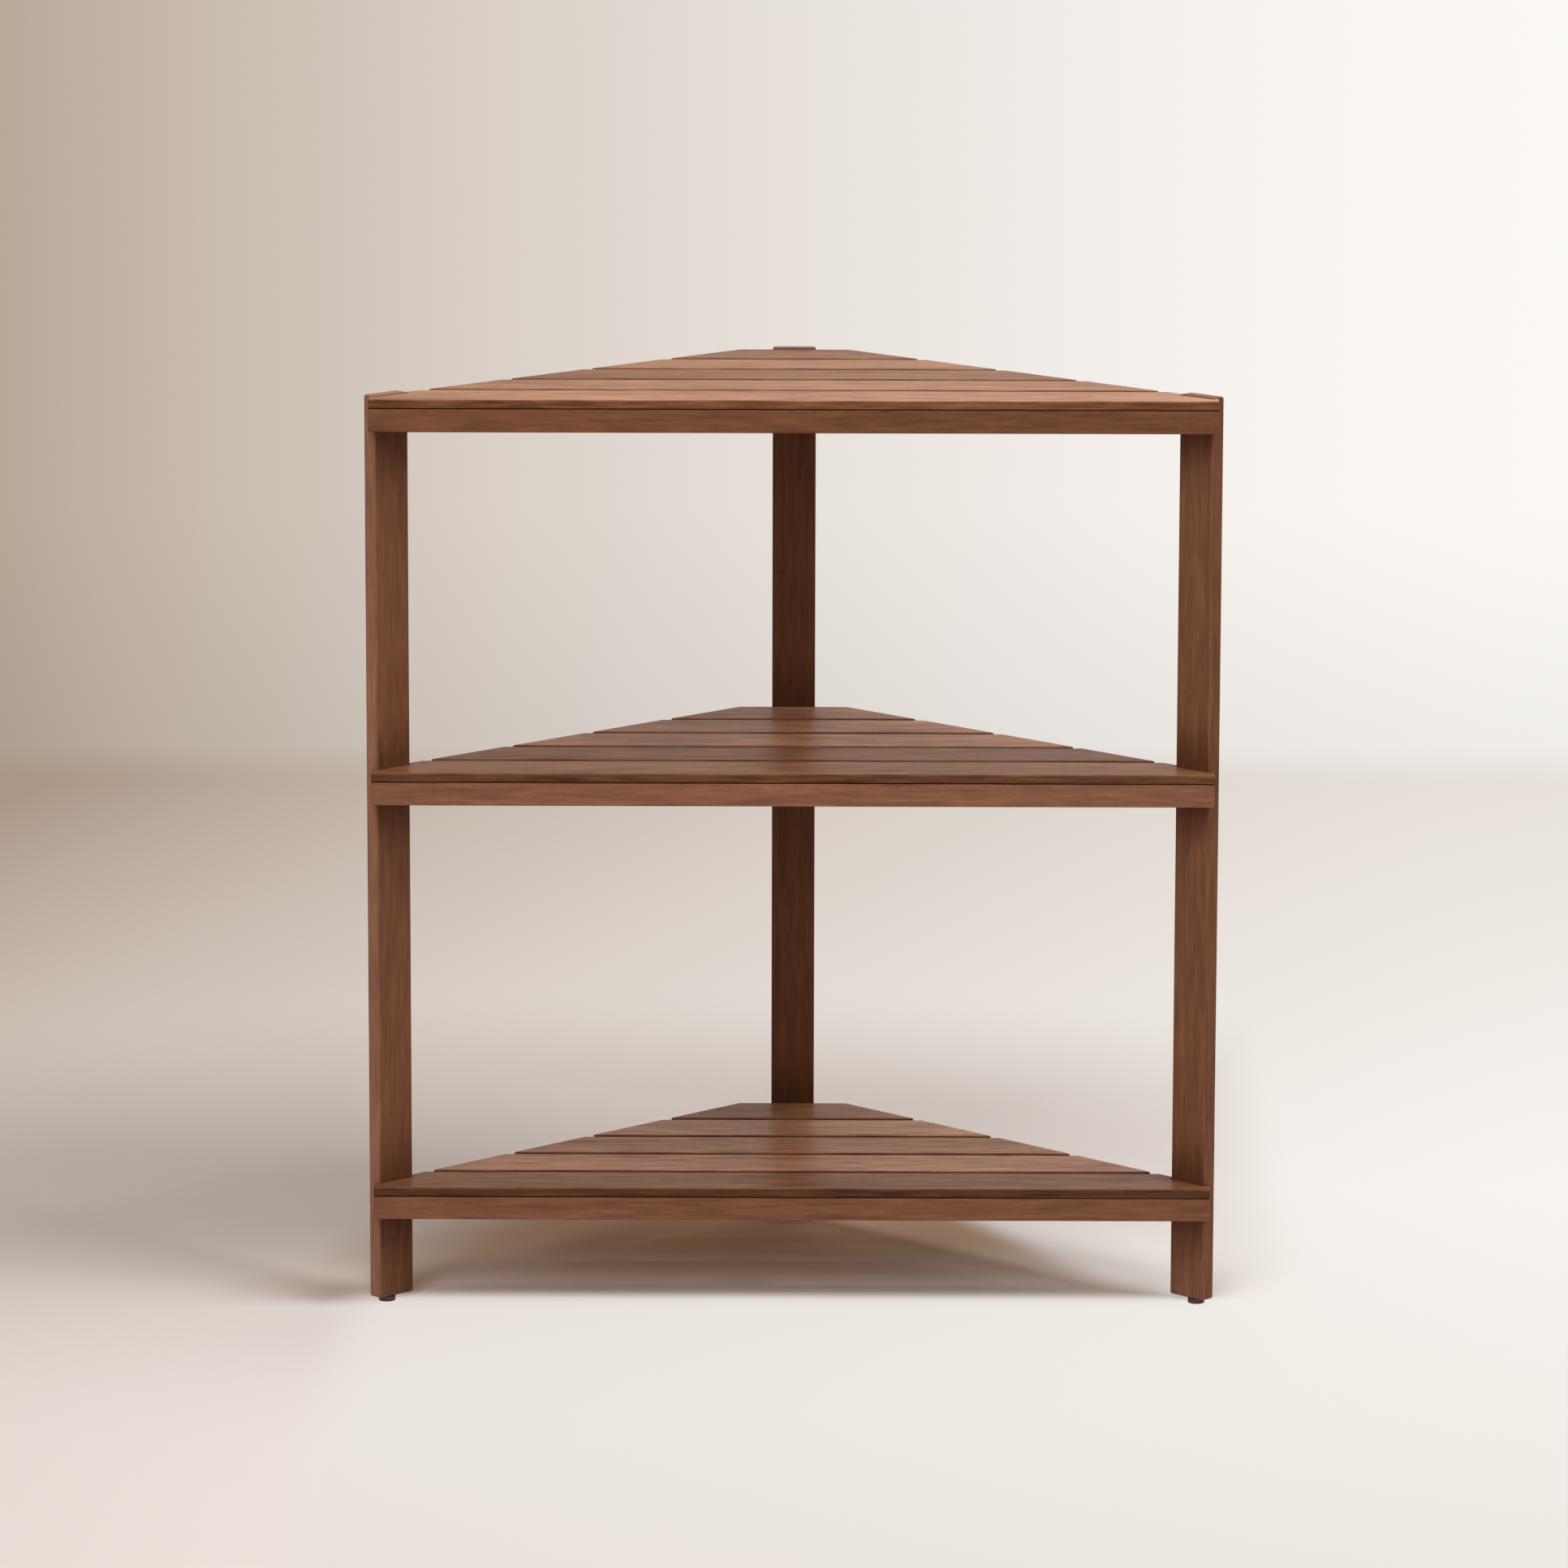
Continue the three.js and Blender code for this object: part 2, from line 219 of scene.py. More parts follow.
def new_group(name, kind, inputs, outputs):
    """A node group with its named sockets, and the nodes that bring values in and take results out."""
    tree = bpy.data.node_groups.new(name, kind)
    for direction, sockets in (("INPUT", inputs), ("OUTPUT", outputs)):
        for socket, value_kind in sockets.items():
            tree.interface.new_socket(socket, in_out=direction, socket_type="NodeSocket" + value_kind)
    return tree, add_node(tree, "NodeGroupInput").outputs, add_node(tree, "NodeGroupOutput").inputs


def linear(hex_colour):
    """A colour written as six hex digits, such as 8a5f48, as the linear values that a shader wants."""
    parts = [int(hex_colour[i : i + 2], 16) / 255 for i in (0, 2, 4)]
    straight = [p / 12.92 if p <= 0.04045 else ((p + 0.055) / 1.055) ** 2.4 for p in parts]
    return (*straight, 1.0)


print("white is", linear("ffffff"))

# %% [markdown]
# ## The timber
#
# The stand is a reddish brown hardwood under thin oil. Seen close, each board has several layers of pattern:
# broad bands from the way the log grew, flecks a few millimetres wide, fine fibres, and short dark pores. All
# of them run along the board. A solid texture suits this, because it also gives the right look where a board
# is cut at 45 degrees: there the fibres are seen end on, as dots. The pattern is one node group. Its input
# vector has the grain along X, a number for each slat, front rail and leg shifts the pattern, so that no two
# of them match, and Figure says how lively it is. Tone makes a place lighter or darker, and a darker one also
# gets redder, as in the photograph.

# %% Timber node group
FLAME_SPACING = 30 * MM
FLECK_WIDTH = 4.5 * MM
FLECK_LENGTH = 48 * MM
FIBRE_WIDTH = 1.1 * MM
FIBRE_LENGTH = 32 * MM
PORE_WIDTH = 0.45 * MM
PORE_LENGTH = 12 * MM
PORE_START, PORE_FULL = 0.60, 0.72
PORE_DARKNESS = 0.5
FLAME_WANDER_LENGTH, FLAME_WANDER_WIDTH = 0.5, 0.04
FLAME_BEND = 7.0
CLOUD_LENGTH, CLOUD_WIDTH = 0.22, 0.05
LAYER_STRENGTHS = {"fibre": 1.1, "fleck": 1.3, "flame": 0.16, "cloud": 0.7}
REDDEST_TONE = 0.55
GREEN_LOSS, BLUE_LOSS = 0.24, 0.55
SMOOTHEST = 0.29
BOARD_SHIFTS = {"X": (17.3, 0), "Y": (5.7, 0.11), "Z": (3.1, 0.07)}


def add_noise(tree, place, length, width, detail, roughness=0.5):
    """Noise whose marks have this length along the board and this width across it."""
    scaled = add_vector_math(tree, "MULTIPLY", place, (1 / length, 1 / width, 1 / width))
    inputs = {"Vector": scaled, "Scale": 1.0, "Detail": detail, "Roughness": roughness}
    return add_node(tree, "ShaderNodeTexNoise", {}, inputs).outputs["Fac"]


def apply_tone(tree, colour, tone):
    """Scales a colour by a tone, which also holds painted light and shade. Dark tones lose more green and
    most blue.
    """
    depth = largest(tree, tone, REDDEST_TONE)
    parts = {"X": tone}
    for axis, power in (("Y", GREEN_LOSS), ("Z", BLUE_LOSS)):
        parts[axis] = product(tree, tone, add_math(tree, "POWER", depth, power))
    return add_vector_math(tree, "MULTIPLY", colour, combine(tree, **parts))


def build_timber_group():
    inputs = {"Vector": "Vector", "Light": "Color", "Dark": "Color", "Pore": "Color"}
    inputs |= {"Board": "Float", "Tone": "Float", "Figure": "Float"}
    outputs = {"Color": "Color", "Roughness": "Float", "Height": "Float"}
    tree, given, result = new_group("Timber", "ShaderNodeTree", inputs, outputs)

    shift = {}
    for axis, (factor, start) in BOARD_SHIFTS.items():
        shift[axis] = scale_add(tree, given["Board"], factor, start)
    place = add_vector_math(tree, "ADD", given["Vector"], combine(tree, **shift))

    # Flame figure: contour lines of a slow noise that is drawn out along the board.
    wander = add_noise(tree, place, FLAME_WANDER_LENGTH, FLAME_WANDER_WIDTH, 3.0)
    turns = add_math(tree, "DIVIDE", split(tree, place)["Y"], FLAME_SPACING)
    phase = product(tree, scale_add(tree, wander, FLAME_BEND, turns), 2 * math.pi)
    layers = {"flame": scale_add(tree, add_math(tree, "SINE", phase), 0.5, 0.5)}

    # Flecks a few millimetres wide, fine fibres, short pores, and a slow cloudy change along the board.
    layers["fleck"] = add_noise(tree, place, FLECK_LENGTH, FLECK_WIDTH, 3.0)
    layers["fibre"] = add_noise(tree, place, FIBRE_LENGTH, FIBRE_WIDTH, 5.0, 0.6)
    layers["cloud"] = add_noise(tree, place, CLOUD_LENGTH, CLOUD_WIDTH, 2.0)
    pores = smooth_step(tree, add_noise(tree, place, PORE_LENGTH, PORE_WIDTH, 2.0), PORE_START, PORE_FULL)

    # The mix of all of it, evenly round its middle.
    pattern = -0.5 * sum(LAYER_STRENGTHS.values())
    for layer, strength in LAYER_STRENGTHS.items():
        pattern = scale_add(tree, layers[layer], strength, pattern)
    mixed = scale_add(tree, pattern, given["Figure"], 0.5)
    mixed.node.use_clamp = True
    board_tone = apply_tone(tree, mix_colours(tree, mixed, given["Light"], given["Dark"]), given["Tone"])
    pore_share = product(tree, pores, PORE_DARKNESS)
    tree.links.new(mix_colours(tree, pore_share, board_tone, given["Pore"]), result["Color"])

    # Pores are rougher and lie deeper; fibres stand up by a hair.
    rough = scale_add(tree, layers["fibre"], 0.16, SMOOTHEST)
    tree.links.new(scale_add(tree, pores, 0.18, rough), result["Roughness"])
    relief = scale_add(tree, layers["fibre"], 0.5, 0.5)
    tree.links.new(scale_add(tree, pores, -0.8, relief), result["Height"])
    return tree


timber = build_timber_group()
print("timber group:", len(timber.nodes), "nodes")

# %% [markdown]
# ## One timber material for each way a board runs
#
# The boards come from the same wood, but they lie in different directions, and in the photograph the slats
# are lighter and livelier than the frame. So each material places the same group with its own turn and its
# own tones. The turn brings the board's length onto X. The Principled shader stays here, outside the group.
#
# The tones also hold some of the photograph's shade, which the lamps below don't give strongly enough. That
# is a painter's choice: it fits the photograph's light, and it stays on the wood when the light changes. One
# such shade is on the legs' inner faces, next to each shelf.

# %% Painted shade in the corners
CORNER_REACH = 60 * MM
CORNER_TONE = 0.66


def corner_tone(tree, place):
    """One on open wood, and less near a shelf, as far as the face's corner attribute asks for it."""
    height = split(tree, place)["Z"]
    darkest = 1.0
    for tier in TIERS:
        top, foot = span(f"{tier}_slat_1")[1].z, span(f"{tier}_front_rail")[0].z
        middle, half = (top + foot) / 2, (top - foot) / 2
        distance = add_math(tree, "ABSOLUTE", minus(tree, height, middle))
        near = smooth_step(tree, distance, half, half + CORNER_REACH, CORNER_TONE)
        darkest = add_math(tree, "MINIMUM", near, darkest)
    corner = add_node(tree, "ShaderNodeAttribute", {"attribute_name": "corner"}).outputs["Fac"]
    return scale_add(tree, corner, minus(tree, darkest, 1.0), 1.0)


print(f"corners are darker over {CORNER_REACH / MM:.0f} mm")

# %% Timber materials
COLOUR_PORE = linear("2c170e")
OIL_SHEEN = 0.055
GRAIN_BUMP, GRAIN_RELIEF = 0.5, 0.12 * MM


def new_material(name):
    material = bpy.data.materials.new(name)
    material.use_nodes = True
    return material, material.node_tree


def connect_finish(tree, group, colour, strength, distance):
    """Connects a grain group to the Principled shader, with its height as a bump."""
    shader = tree.nodes["Principled BSDF"]
    inputs = {"Height": group.outputs["Height"], "Strength": strength, "Distance": distance}
    bump = add_node(tree, "ShaderNodeBump", {}, inputs).outputs[0]
    finish = {"Base Color": colour, "Roughness": group.outputs["Roughness"], "Normal": bump}
    for socket, source in finish.items():
        tree.links.new(source, shader.inputs[socket])
    return shader


def timber_material(name, turn, light, dark, figure=1.0, toned=True):
    """Timber along one direction. A toned one takes its tones from the piece's own tone attribute."""
    material, tree = new_material(name)
    coordinates = add_node(tree, "ShaderNodeTexCoord")
    turned = {"Vector": coordinates.outputs["Object"], "Rotation": turn}
    along = add_node(tree, "ShaderNodeMapping", {}, turned)
    board = add_node(tree, "ShaderNodeAttribute", {"attribute_name": "board"})
    values = {"Vector": along.outputs[0], "Board": board.outputs["Fac"], "Pore": COLOUR_PORE}
    values |= {"Light": linear(light), "Dark": linear(dark), "Figure": figure, "Tone": 1.0}
    if toned:
        tone = add_node(tree, "ShaderNodeAttribute", {"attribute_name": "tone"}).outputs["Fac"]
        values["Tone"] = product(tree, tone, corner_tone(tree, coordinates.outputs["Object"]))
    group = add_node(tree, "ShaderNodeGroup", {"node_tree": timber}, values)
    shader = connect_finish(tree, group, group.outputs["Color"], GRAIN_BUMP, GRAIN_RELIEF)
    shader.inputs["Specular IOR Level"].default_value = OIL_SHEEN
    return material


QUARTER = math.pi / 2
ALONG_X = (0, 0, 0)
ALONG_Y = (0, 0, -QUARTER)
UPRIGHT = (0, QUARTER, 0)
slat_timber = timber_material("slat_timber", ALONG_X, "bc8b6a", "764b35", 1.2)
rail_timber = timber_material("rail_timber", ALONG_X, "8d6046", "59392a", 0.75)
leg_timber = timber_material("leg_timber", UPRIGHT, "8d6046", "59392a", 0.65)
SLANTS = {"left_rail": (0, 0, -QUARTER / 2), "right_rail": (0, 0, QUARTER / 2)}
frame_timber = {}
for part, turn in {"block": ALONG_X, "batten": ALONG_Y, **SLANTS}.items():
    frame_timber[part] = timber_material(f"{part}_timber", turn, "8a5e46", "5a3a29", toned=False)
print("timber materials:", [m.name for m in bpy.data.materials if m.name.endswith("timber")])

# %% [markdown]
# ## Turning a construction in modifiers into a plain piece
#
# A board starts with sharp edges. A Bevel modifier eases them, as a sander does, and Weighted Normal keeps
# the wide faces looking flat beside the small round ones. When a piece is finished, the evaluated shape is
# copied into a plain mesh with no modifiers left, and each slat, front rail and leg gets its number for the
# timber.

# %% Helpers for pieces
EASING_STEPS = 3


def new_object(name, mesh):
    made = bpy.data.objects.new(name, mesh)
    bpy.context.scene.collection.objects.link(made)
    return made


def ease_edges(piece, width, segments=EASING_STEPS):
    bevel = piece.modifiers.new("eased edges", "BEVEL")
    bevel.width = width
    bevel.segments = segments
    bevel.limit_method = "ANGLE"
    bevel.angle_limit = math.radians(30)
    bevel.use_clamp_overlap = True


def object_from(name, shape):
    """An object from a finished bmesh, which is freed."""
    mesh = bpy.data.meshes.new(name)
    shape.to_mesh(mesh)
    shape.free()
    return new_object(name, mesh)


def evaluated_mesh(piece):
    graph = bpy.context.evaluated_depsgraph_get()
    return bpy.data.meshes.new_from_object(piece.evaluated_get(graph), depsgraph=graph)


def settle(piece, smooth_angle=40):
    """Applies every modifier by copying the evaluated shape, and shades it smooth up to an angle."""
    name = piece.name
    mesh = evaluated_mesh(piece)
    start = piece.data
    piece.modifiers.clear()
    bpy.data.objects.remove(piece)
    if start.users == 0:
        bpy.data.meshes.remove(start)
    mesh.name = name
    mesh.shade_smooth()
    mesh.set_sharp_from_angle(angle=math.radians(smooth_angle))
    return new_object(name, mesh)


def cut_away(target, cutter, smooth_angle=30):
    """Takes a cutter's shape out of a piece, with all modifiers applied, and removes the cutter."""
    cut = target.modifiers.new("recess", "BOOLEAN")
    cut.object = cutter
    cut.solver = "EXACT"
    piece = settle(target, smooth_angle)
    bpy.data.objects.remove(cutter)
    return piece


def weight_normals(piece):
    """Lets wide flat faces decide the shading at their borders, and keeps the result in the mesh."""
    weighted = piece.modifiers.new("weighted normals", "WEIGHTED_NORMAL")
    weighted.keep_sharp = True
    weighted.weight = 100
    mesh = evaluated_mesh(piece)
    piece.modifiers.clear()
    piece.data = mesh
    mesh.name = piece.name


def add_attribute(piece, name, domain, values):
    """Writes an attribute from a list with one number for each point or face."""
    layer = piece.data.attributes.new(name, "FLOAT", domain)
    layer.data.foreach_set("value", values)


def number_board(piece, number):
    """Writes one number on every point of a board, which shifts its grain."""
    add_attribute(piece, "board", "POINT", [number] * len(piece.data.vertices))


def tone_faces(piece, tone_of):
    """Writes how light each face is, from a rule that takes the face's middle and its direction."""
    tones = [tone_of(face.center, face.normal) for face in piece.data.polygons]
    add_attribute(piece, "tone", "FACE", tones)


def finish_piece(piece, material, nodes):
    if not piece.data.materials:
        piece.data.materials.append(material)
    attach(piece, "root")
    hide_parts(*nodes)


def dress_board(board, tone_of, material, nodes):
    """The last steps of every board: its shading, tones, material and the nodes whose place it takes."""
    weight_normals(board)
    tone_faces(board, tone_of)
    finish_piece(board, material, nodes)
    print(board.name, "faces:", len(board.data.polygons))


def extrude_outline(name, outline, low, high):
    """A solid board from its outline in plan, given anticlockwise, between two heights."""
    shape = bmesh.new()
    corners = [shape.verts.new((x, y, low)) for x, y in outline]
    floor = shape.faces.new(corners)
    lifted = bmesh.ops.extrude_face_region(shape, geom=[floor])["geom"]
    moved = [v for v in lifted if isinstance(v, bmesh.types.BMVert)]
    bmesh.ops.translate(shape, verts=moved, vec=(0, 0, high - low))
    bmesh.ops.recalc_face_normals(shape, faces=shape.faces)
    return object_from(name, shape)


print("sharp edges are eased with", EASING_STEPS, "steps")

# %% [markdown]
# ## The rows of slats, with Geometry Nodes
#
# Behind the notched first slat, each shelf has four slats that follow one rule: same width, same gap, and
# both ends cut at 45 degrees along the walls. That is a good job for Geometry Nodes. The tree sets a short
# box on each point of a line, gives each box its own board number, and then stretches every box sideways to
# the length that belongs to its depth. Points nearer the back are stretched less, and so the ends come out
# slanted.

# %% Tree for a row of slats
FIRST_ROW_SLAT = 2
SLAT_EDGE = 1.2 * MM
BOARDS_PER_TIER = 10.0


def build_slat_row_tree():
    sizes = ["Slat Width", "Slat Gap", "Slat Thickness", "Front Y", "Top Z"]
    sizes += ["Front Half Length", "First Board"]
    inputs = {"Count": "Int", "Timber": "Material"} | {size: "Float" for size in sizes}
    outputs = {"Geometry": "Geometry"}
    tree, given, result = new_group("Slat row", "GeometryNodeTree", inputs, outputs)

    start_y = scale_add(tree, given["Slat Width"], 0.5, given["Front Y"])
    start_z = scale_add(tree, given["Slat Thickness"], -0.5, given["Top Z"])
    pitch = plus(tree, given["Slat Width"], given["Slat Gap"])
    start = combine(tree, Y=start_y, Z=start_z)
    line_inputs = {"Count": given["Count"], "Start Location": start, "Offset": combine(tree, Y=pitch)}
    line = add_node(tree, "GeometryNodeMeshLine", {"mode": "OFFSET"}, line_inputs).outputs["Mesh"]

    block_size = combine(tree, X=2.0, Y=given["Slat Width"], Z=given["Slat Thickness"])
    block = add_node(tree, "GeometryNodeMeshCube", {}, {"Size": block_size}).outputs["Mesh"]
    on_line = {"Points": line, "Instance": block}
    placed = add_node(tree, "GeometryNodeInstanceOnPoints", {}, on_line).outputs[0]
    index = add_node(tree, "GeometryNodeInputIndex").outputs[0]
    number = plus(tree, index, given["First Board"])
    numbering = {"Geometry": placed, "Name": "board", "Value": number}
    per_slat = {"data_type": "FLOAT", "domain": "INSTANCE"}
    numbered = add_node(tree, "GeometryNodeStoreNamedAttribute", per_slat, numbering).outputs[0]
    solid = add_node(tree, "GeometryNodeRealizeInstances", {}, {"Geometry": numbered}).outputs[0]

    position = add_node(tree, "GeometryNodeInputPosition").outputs[0]
    at = split(tree, position)
    depth = minus(tree, at["Y"], given["Front Y"])
    half_length = minus(tree, given["Front Half Length"], depth)
    x = product(tree, at["X"], half_length)
    stretched = {"Geometry": solid, "Position": combine(tree, X=x, Y=at["Y"], Z=at["Z"])}
    moved = add_node(tree, "GeometryNodeSetPosition", {}, stretched).outputs[0]
    whole = add_node(tree, "GeometryNodeRealizeInstances", {}, {"Geometry": moved}).outputs[0]
    coloured = add_node(tree, "GeometryNodeSetMaterial", {}, {"Geometry": whole, "Material": given["Timber"]})
    tree.links.new(coloured.outputs[0], result["Geometry"])
    return tree


def run_tree(name, tree, values, start_mesh=None):
    """A new object that runs a tree. Values go to the sockets' identifiers, before anything is evaluated."""
    holder = new_object(name, start_mesh or bpy.data.meshes.new(name))
    modifier = holder.modifiers.new(tree.name, "NODES")
    modifier.node_group = tree
    for item in tree.interface.items_tree:
        if item.item_type == "SOCKET" and item.in_out == "INPUT" and item.name in values:
            modifier[item.identifier] = values[item.name]
    return holder


# Tones of each slat's top, with painted light and shade in them; the edge and groove tones are painted shade.
SLAT_TONES = {
    "top": (1.10, 1.02, 0.68, 0.97, 0.66),
    "middle": (0.60, 0.52, 1.05, 1.16, 0.94),
    "bottom": (0.53, 1.08, 1.00, 1.32, 0.76),
}
FRONT_EDGE_TONES = {"top": 0.45, "middle": 0.36, "bottom": 0.24}
GAP_EDGE_TONE = 0.30
GROOVE_TONE = 0.22
FACING = 0.3


def slat_tone_rule(tier):
    """Each slat's top has its own tone, which also holds painted light and shade. Edges and grooves have
    painted shade.
    """
    front = span(f"{tier}_slat_1")[0].y

    def tone_of(middle, direction):
        if direction.z < -FACING:
            return GROOVE_TONE
        slat = min(int((middle.y - front) / (slat_width + slat_gap)), SLATS - 1)
        at_front = slat == 0 and direction.y < -FACING
        edge = FRONT_EDGE_TONES[tier] if at_front else GAP_EDGE_TONE
        upright = max(0.0, 1.0 - abs(direction.z)) ** 0.5
        flat_tone = SLAT_TONES[tier][slat]
        return flat_tone + (edge - flat_tone) * upright

    return tone_of


slat_row_tree = build_slat_row_tree()
for tier_number, tier in enumerate(TIERS):
    low, high = span(f"{tier}_slat_{FIRST_ROW_SLAT}")
    row = run_tree(
        f"{tier}_slats_behind",
        slat_row_tree,
        {
            "Count": SLATS - 1,
            "Timber": slat_timber,
            "Slat Width": slat_width,
            "Slat Gap": slat_gap,
            "Slat Thickness": slat_thickness,
            "Front Y": low.y,
            "Top Z": high.z,
            "Front Half Length": high.x,
            "First Board": BOARDS_PER_TIER * tier_number + FIRST_ROW_SLAT,
        },
    )
    ease_edges(row, SLAT_EDGE)
    row = settle(row)
    nodes = [f"{tier}_slat_{n}" for n in range(FIRST_ROW_SLAT, SLATS + 1)]
    dress_board(row, slat_tone_rule(tier), slat_timber, nodes)

# %% [markdown]
# ## The notched first slats
#
# The slat at the front laps over the front rail and runs on in front of the front legs. Its back corners are
# cut away: a notch lets it pass each leg, and behind the leg its end follows the wall like the others. This
# outline has corners that no rule repeats, so it is drawn point by point and lifted to the slat's thickness.

# %% First slats
FIT_GAP = 0.3 * MM
SLAT_END_INSET = 9 * MM
HALF_ROOT = math.sqrt(0.5)
ALONG_WALL = Vector((HALF_ROOT, HALF_ROOT))
INTO_STAND = Vector((HALF_ROOT, -HALF_ROOT))
leg_middle = centre("leg_front_left").xy


def left_notch():
    """The four corners of the notch round the left leg, from the slanting end round to the slat's tip."""
    inner_face = leg_middle + INTO_STAND * (LEG_THICKNESS / 2 + FIT_GAP)
    back_corner = inner_face + ALONG_WALL * (LEG_WIDTH / 2 + FIT_GAP)
    front_corner = inner_face - ALONG_WALL * (LEG_WIDTH / 2 + FIT_GAP)
    slat_end = back_corner - INTO_STAND * (LEG_THICKNESS + FIT_GAP - SLAT_END_INSET)
    return slat_end, back_corner, front_corner


def first_slat_outline(low, high):
    slat_end, back_corner, front_corner = left_notch()
    back_left = Vector((slat_end.x + (high.y - slat_end.y), high.y))
    tip = Vector((low.x, front_corner.y + (front_corner.x - low.x)))
    left = [back_left, slat_end, back_corner, front_corner, tip, Vector((low.x, low.y))]
    right = [Vector((-p.x, p.y)) for p in reversed(left)]
    return left + right


for tier_number, tier in enumerate(TIERS):
    low, high = span(f"{tier}_slat_1")
    slat = extrude_outline(f"{tier}_first_slat", first_slat_outline(low, high), low.z, high.z)
    ease_edges(slat, SLAT_EDGE)
    slat = settle(slat)
    number_board(slat, BOARDS_PER_TIER * tier_number + 1)
    dress_board(slat, slat_tone_rule(tier), slat_timber, [f"{tier}_slat_1"])

# %% [markdown]
# ## The front rails
#
# Each shelf's front rail is the board that gives the stand its clear horizontal lines. It is a plain length
# of timber with square ends, set just under the first slat. Both have eased edges, and where they meet the
# two roundings leave a thin groove, which painted shade makes darker.

# %% Front rails
RAIL_EDGE = 1.0 * MM
# Each rail's tone also holds painted light and shade.
RAIL_TONES = {"top": 0.86, "middle": 1.2, "bottom": 1.02}
FIRST_RAIL_BOARD, RAIL_BOARD_STEP = 40.0, 7


def rail_tone_rule(tier):
    """The rail's top lies in the groove under the slat, and has painted shade."""
    return lambda middle, direction: GROOVE_TONE if direction.z > FACING else RAIL_TONES[tier]


for tier_number, tier in enumerate(TIERS):
    low, high = span(f"{tier}_front_rail")
    outline = [(low.x, low.y), (high.x, low.y), (high.x, high.y), (low.x, high.y)]
    rail = extrude_outline(f"{tier}_rail", outline, low.z, high.z)
    ease_edges(rail, RAIL_EDGE)
    rail = settle(rail)
    number_board(rail, FIRST_RAIL_BOARD + RAIL_BOARD_STEP * tier_number)
    dress_board(rail, rail_tone_rule(tier), rail_timber, [f"{tier}_front_rail"])

# %% [markdown]
# ## The legs
#
# The legs are the same board three times, with softer edges than the slats, because hands meet them. The
# front legs are turned by 45 degrees, so their outer faces can lie against a wall. In each outer face three
# shallow round holes take the bolt heads. The holes are cut with a Boolean modifier after the edges are
# eased, so their rims stay crisp as a drill leaves them.

# %% Legs
LEG_EDGE = 2.3 * MM
BOLT_HOLE_RADIUS = 6.3 * MM
BOLT_SHANK_RADIUS = 3.3 * MM
BOLT_SEAT_DEPTH = 4.4 * MM
BOLT_LENGTH = 24.8 * MM
BOLT_SINK = 0.5 * MM
FIRST_LEG_BOARD, LEG_BOARD_STEP = 70.0, 3
INNER_FACING = 0.7
# Leg and narrow-face tones hold painted light and shade, and the corner strengths say how much painted shade
# each leg's inner faces take near the shelves.
LEG_TONES = {"front_left": 0.92, "front_right": 1.06, "back": 0.68}
NARROW_FACE_TONES = {"front_left": 1.65, "front_right": 0.90, "back": 0.75}
CORNER_STRENGTHS = {"front_left": 0.9, "front_right": 1.1, "back": 1.3}
LEGS = {
    "front_left": {"bolt": "left", "turn": math.radians(45), "outward": Vector((-HALF_ROOT, HALF_ROOT, 0))},
    "front_right": {"bolt": "right", "turn": math.radians(-45), "outward": Vector((HALF_ROOT, HALF_ROOT, 0))},
    "back": {"bolt": "back", "turn": 0.0, "outward": Vector((0, 1, 0))},
}


def leg_tone_rule(leg_name):
    """Wide and narrow faces have different tones, which hold some of the photograph's shade."""
    outward = LEGS[leg_name]["outward"]

    def tone_of(middle, direction):
        wide = abs(direction.dot(outward))
        return NARROW_FACE_TONES[leg_name] + (LEG_TONES[leg_name] - NARROW_FACE_TONES[leg_name]) * wide

    return tone_of


def bolt_head_place(tier, leg):
    """The middle of a bolt head's outer face."""
    return centre(f"{tier}_bolt_{leg['bolt']}") + leg["outward"] * (BOLT_LENGTH / 2)


def revolve(name, profile, sides):
    """A closed solid turned about Z, from a profile of radius and height that starts and ends on Z."""
    shape = bmesh.new()
    rings = []
    for radius, height in profile:
        if radius == 0:
            rings.append([shape.verts.new((0, 0, height))])
            continue
        angles = [2 * math.pi * i / sides for i in range(sides)]
        rings.append([shape.verts.new((radius * math.cos(a), radius * math.sin(a), height)) for a in angles])
    for lower, upper in zip(rings, rings[1:]):
        for i in range(sides):
            j = (i + 1) % sides
            turns = ((lower, i), (lower, j), (upper, j), (upper, i))
            corners = [ring[number % len(ring)] for ring, number in turns]
            shape.faces.new(list(dict.fromkeys(corners)))
    bmesh.ops.recalc_face_normals(shape, faces=shape.faces)
    return object_from(name, shape)


def bolt_hole_cutter(leg):
    """One solid for each tier, joined in one mesh: the seat for the head, then the hole for the shank."""
    reach = LEG_THICKNESS + 2 * MM
    seat = -BOLT_SEAT_DEPTH
    profile = [(0, 2 * MM), (BOLT_HOLE_RADIUS, 2 * MM), (BOLT_HOLE_RADIUS, seat)]
    profile += [(BOLT_SHANK_RADIUS, seat), (BOLT_SHANK_RADIUS, -reach), (0, -reach)]
    cutter = revolve("bolt_holes", profile, 40)
    single = cutter.data
    shape = bmesh.new()
    for tier in TIERS:
        mouth = bolt_head_place(tier, leg) + leg["outward"] * BOLT_SINK
        turn = leg["outward"].to_track_quat("Z", "Y").to_matrix().to_4x4()
        copy = single.copy()
        copy.transform(Matrix.Translation(mouth) @ turn)
        shape.from_mesh(copy)
        bpy.data.meshes.remove(copy)
    shape.to_mesh(single)
    shape.free()
    return cutter


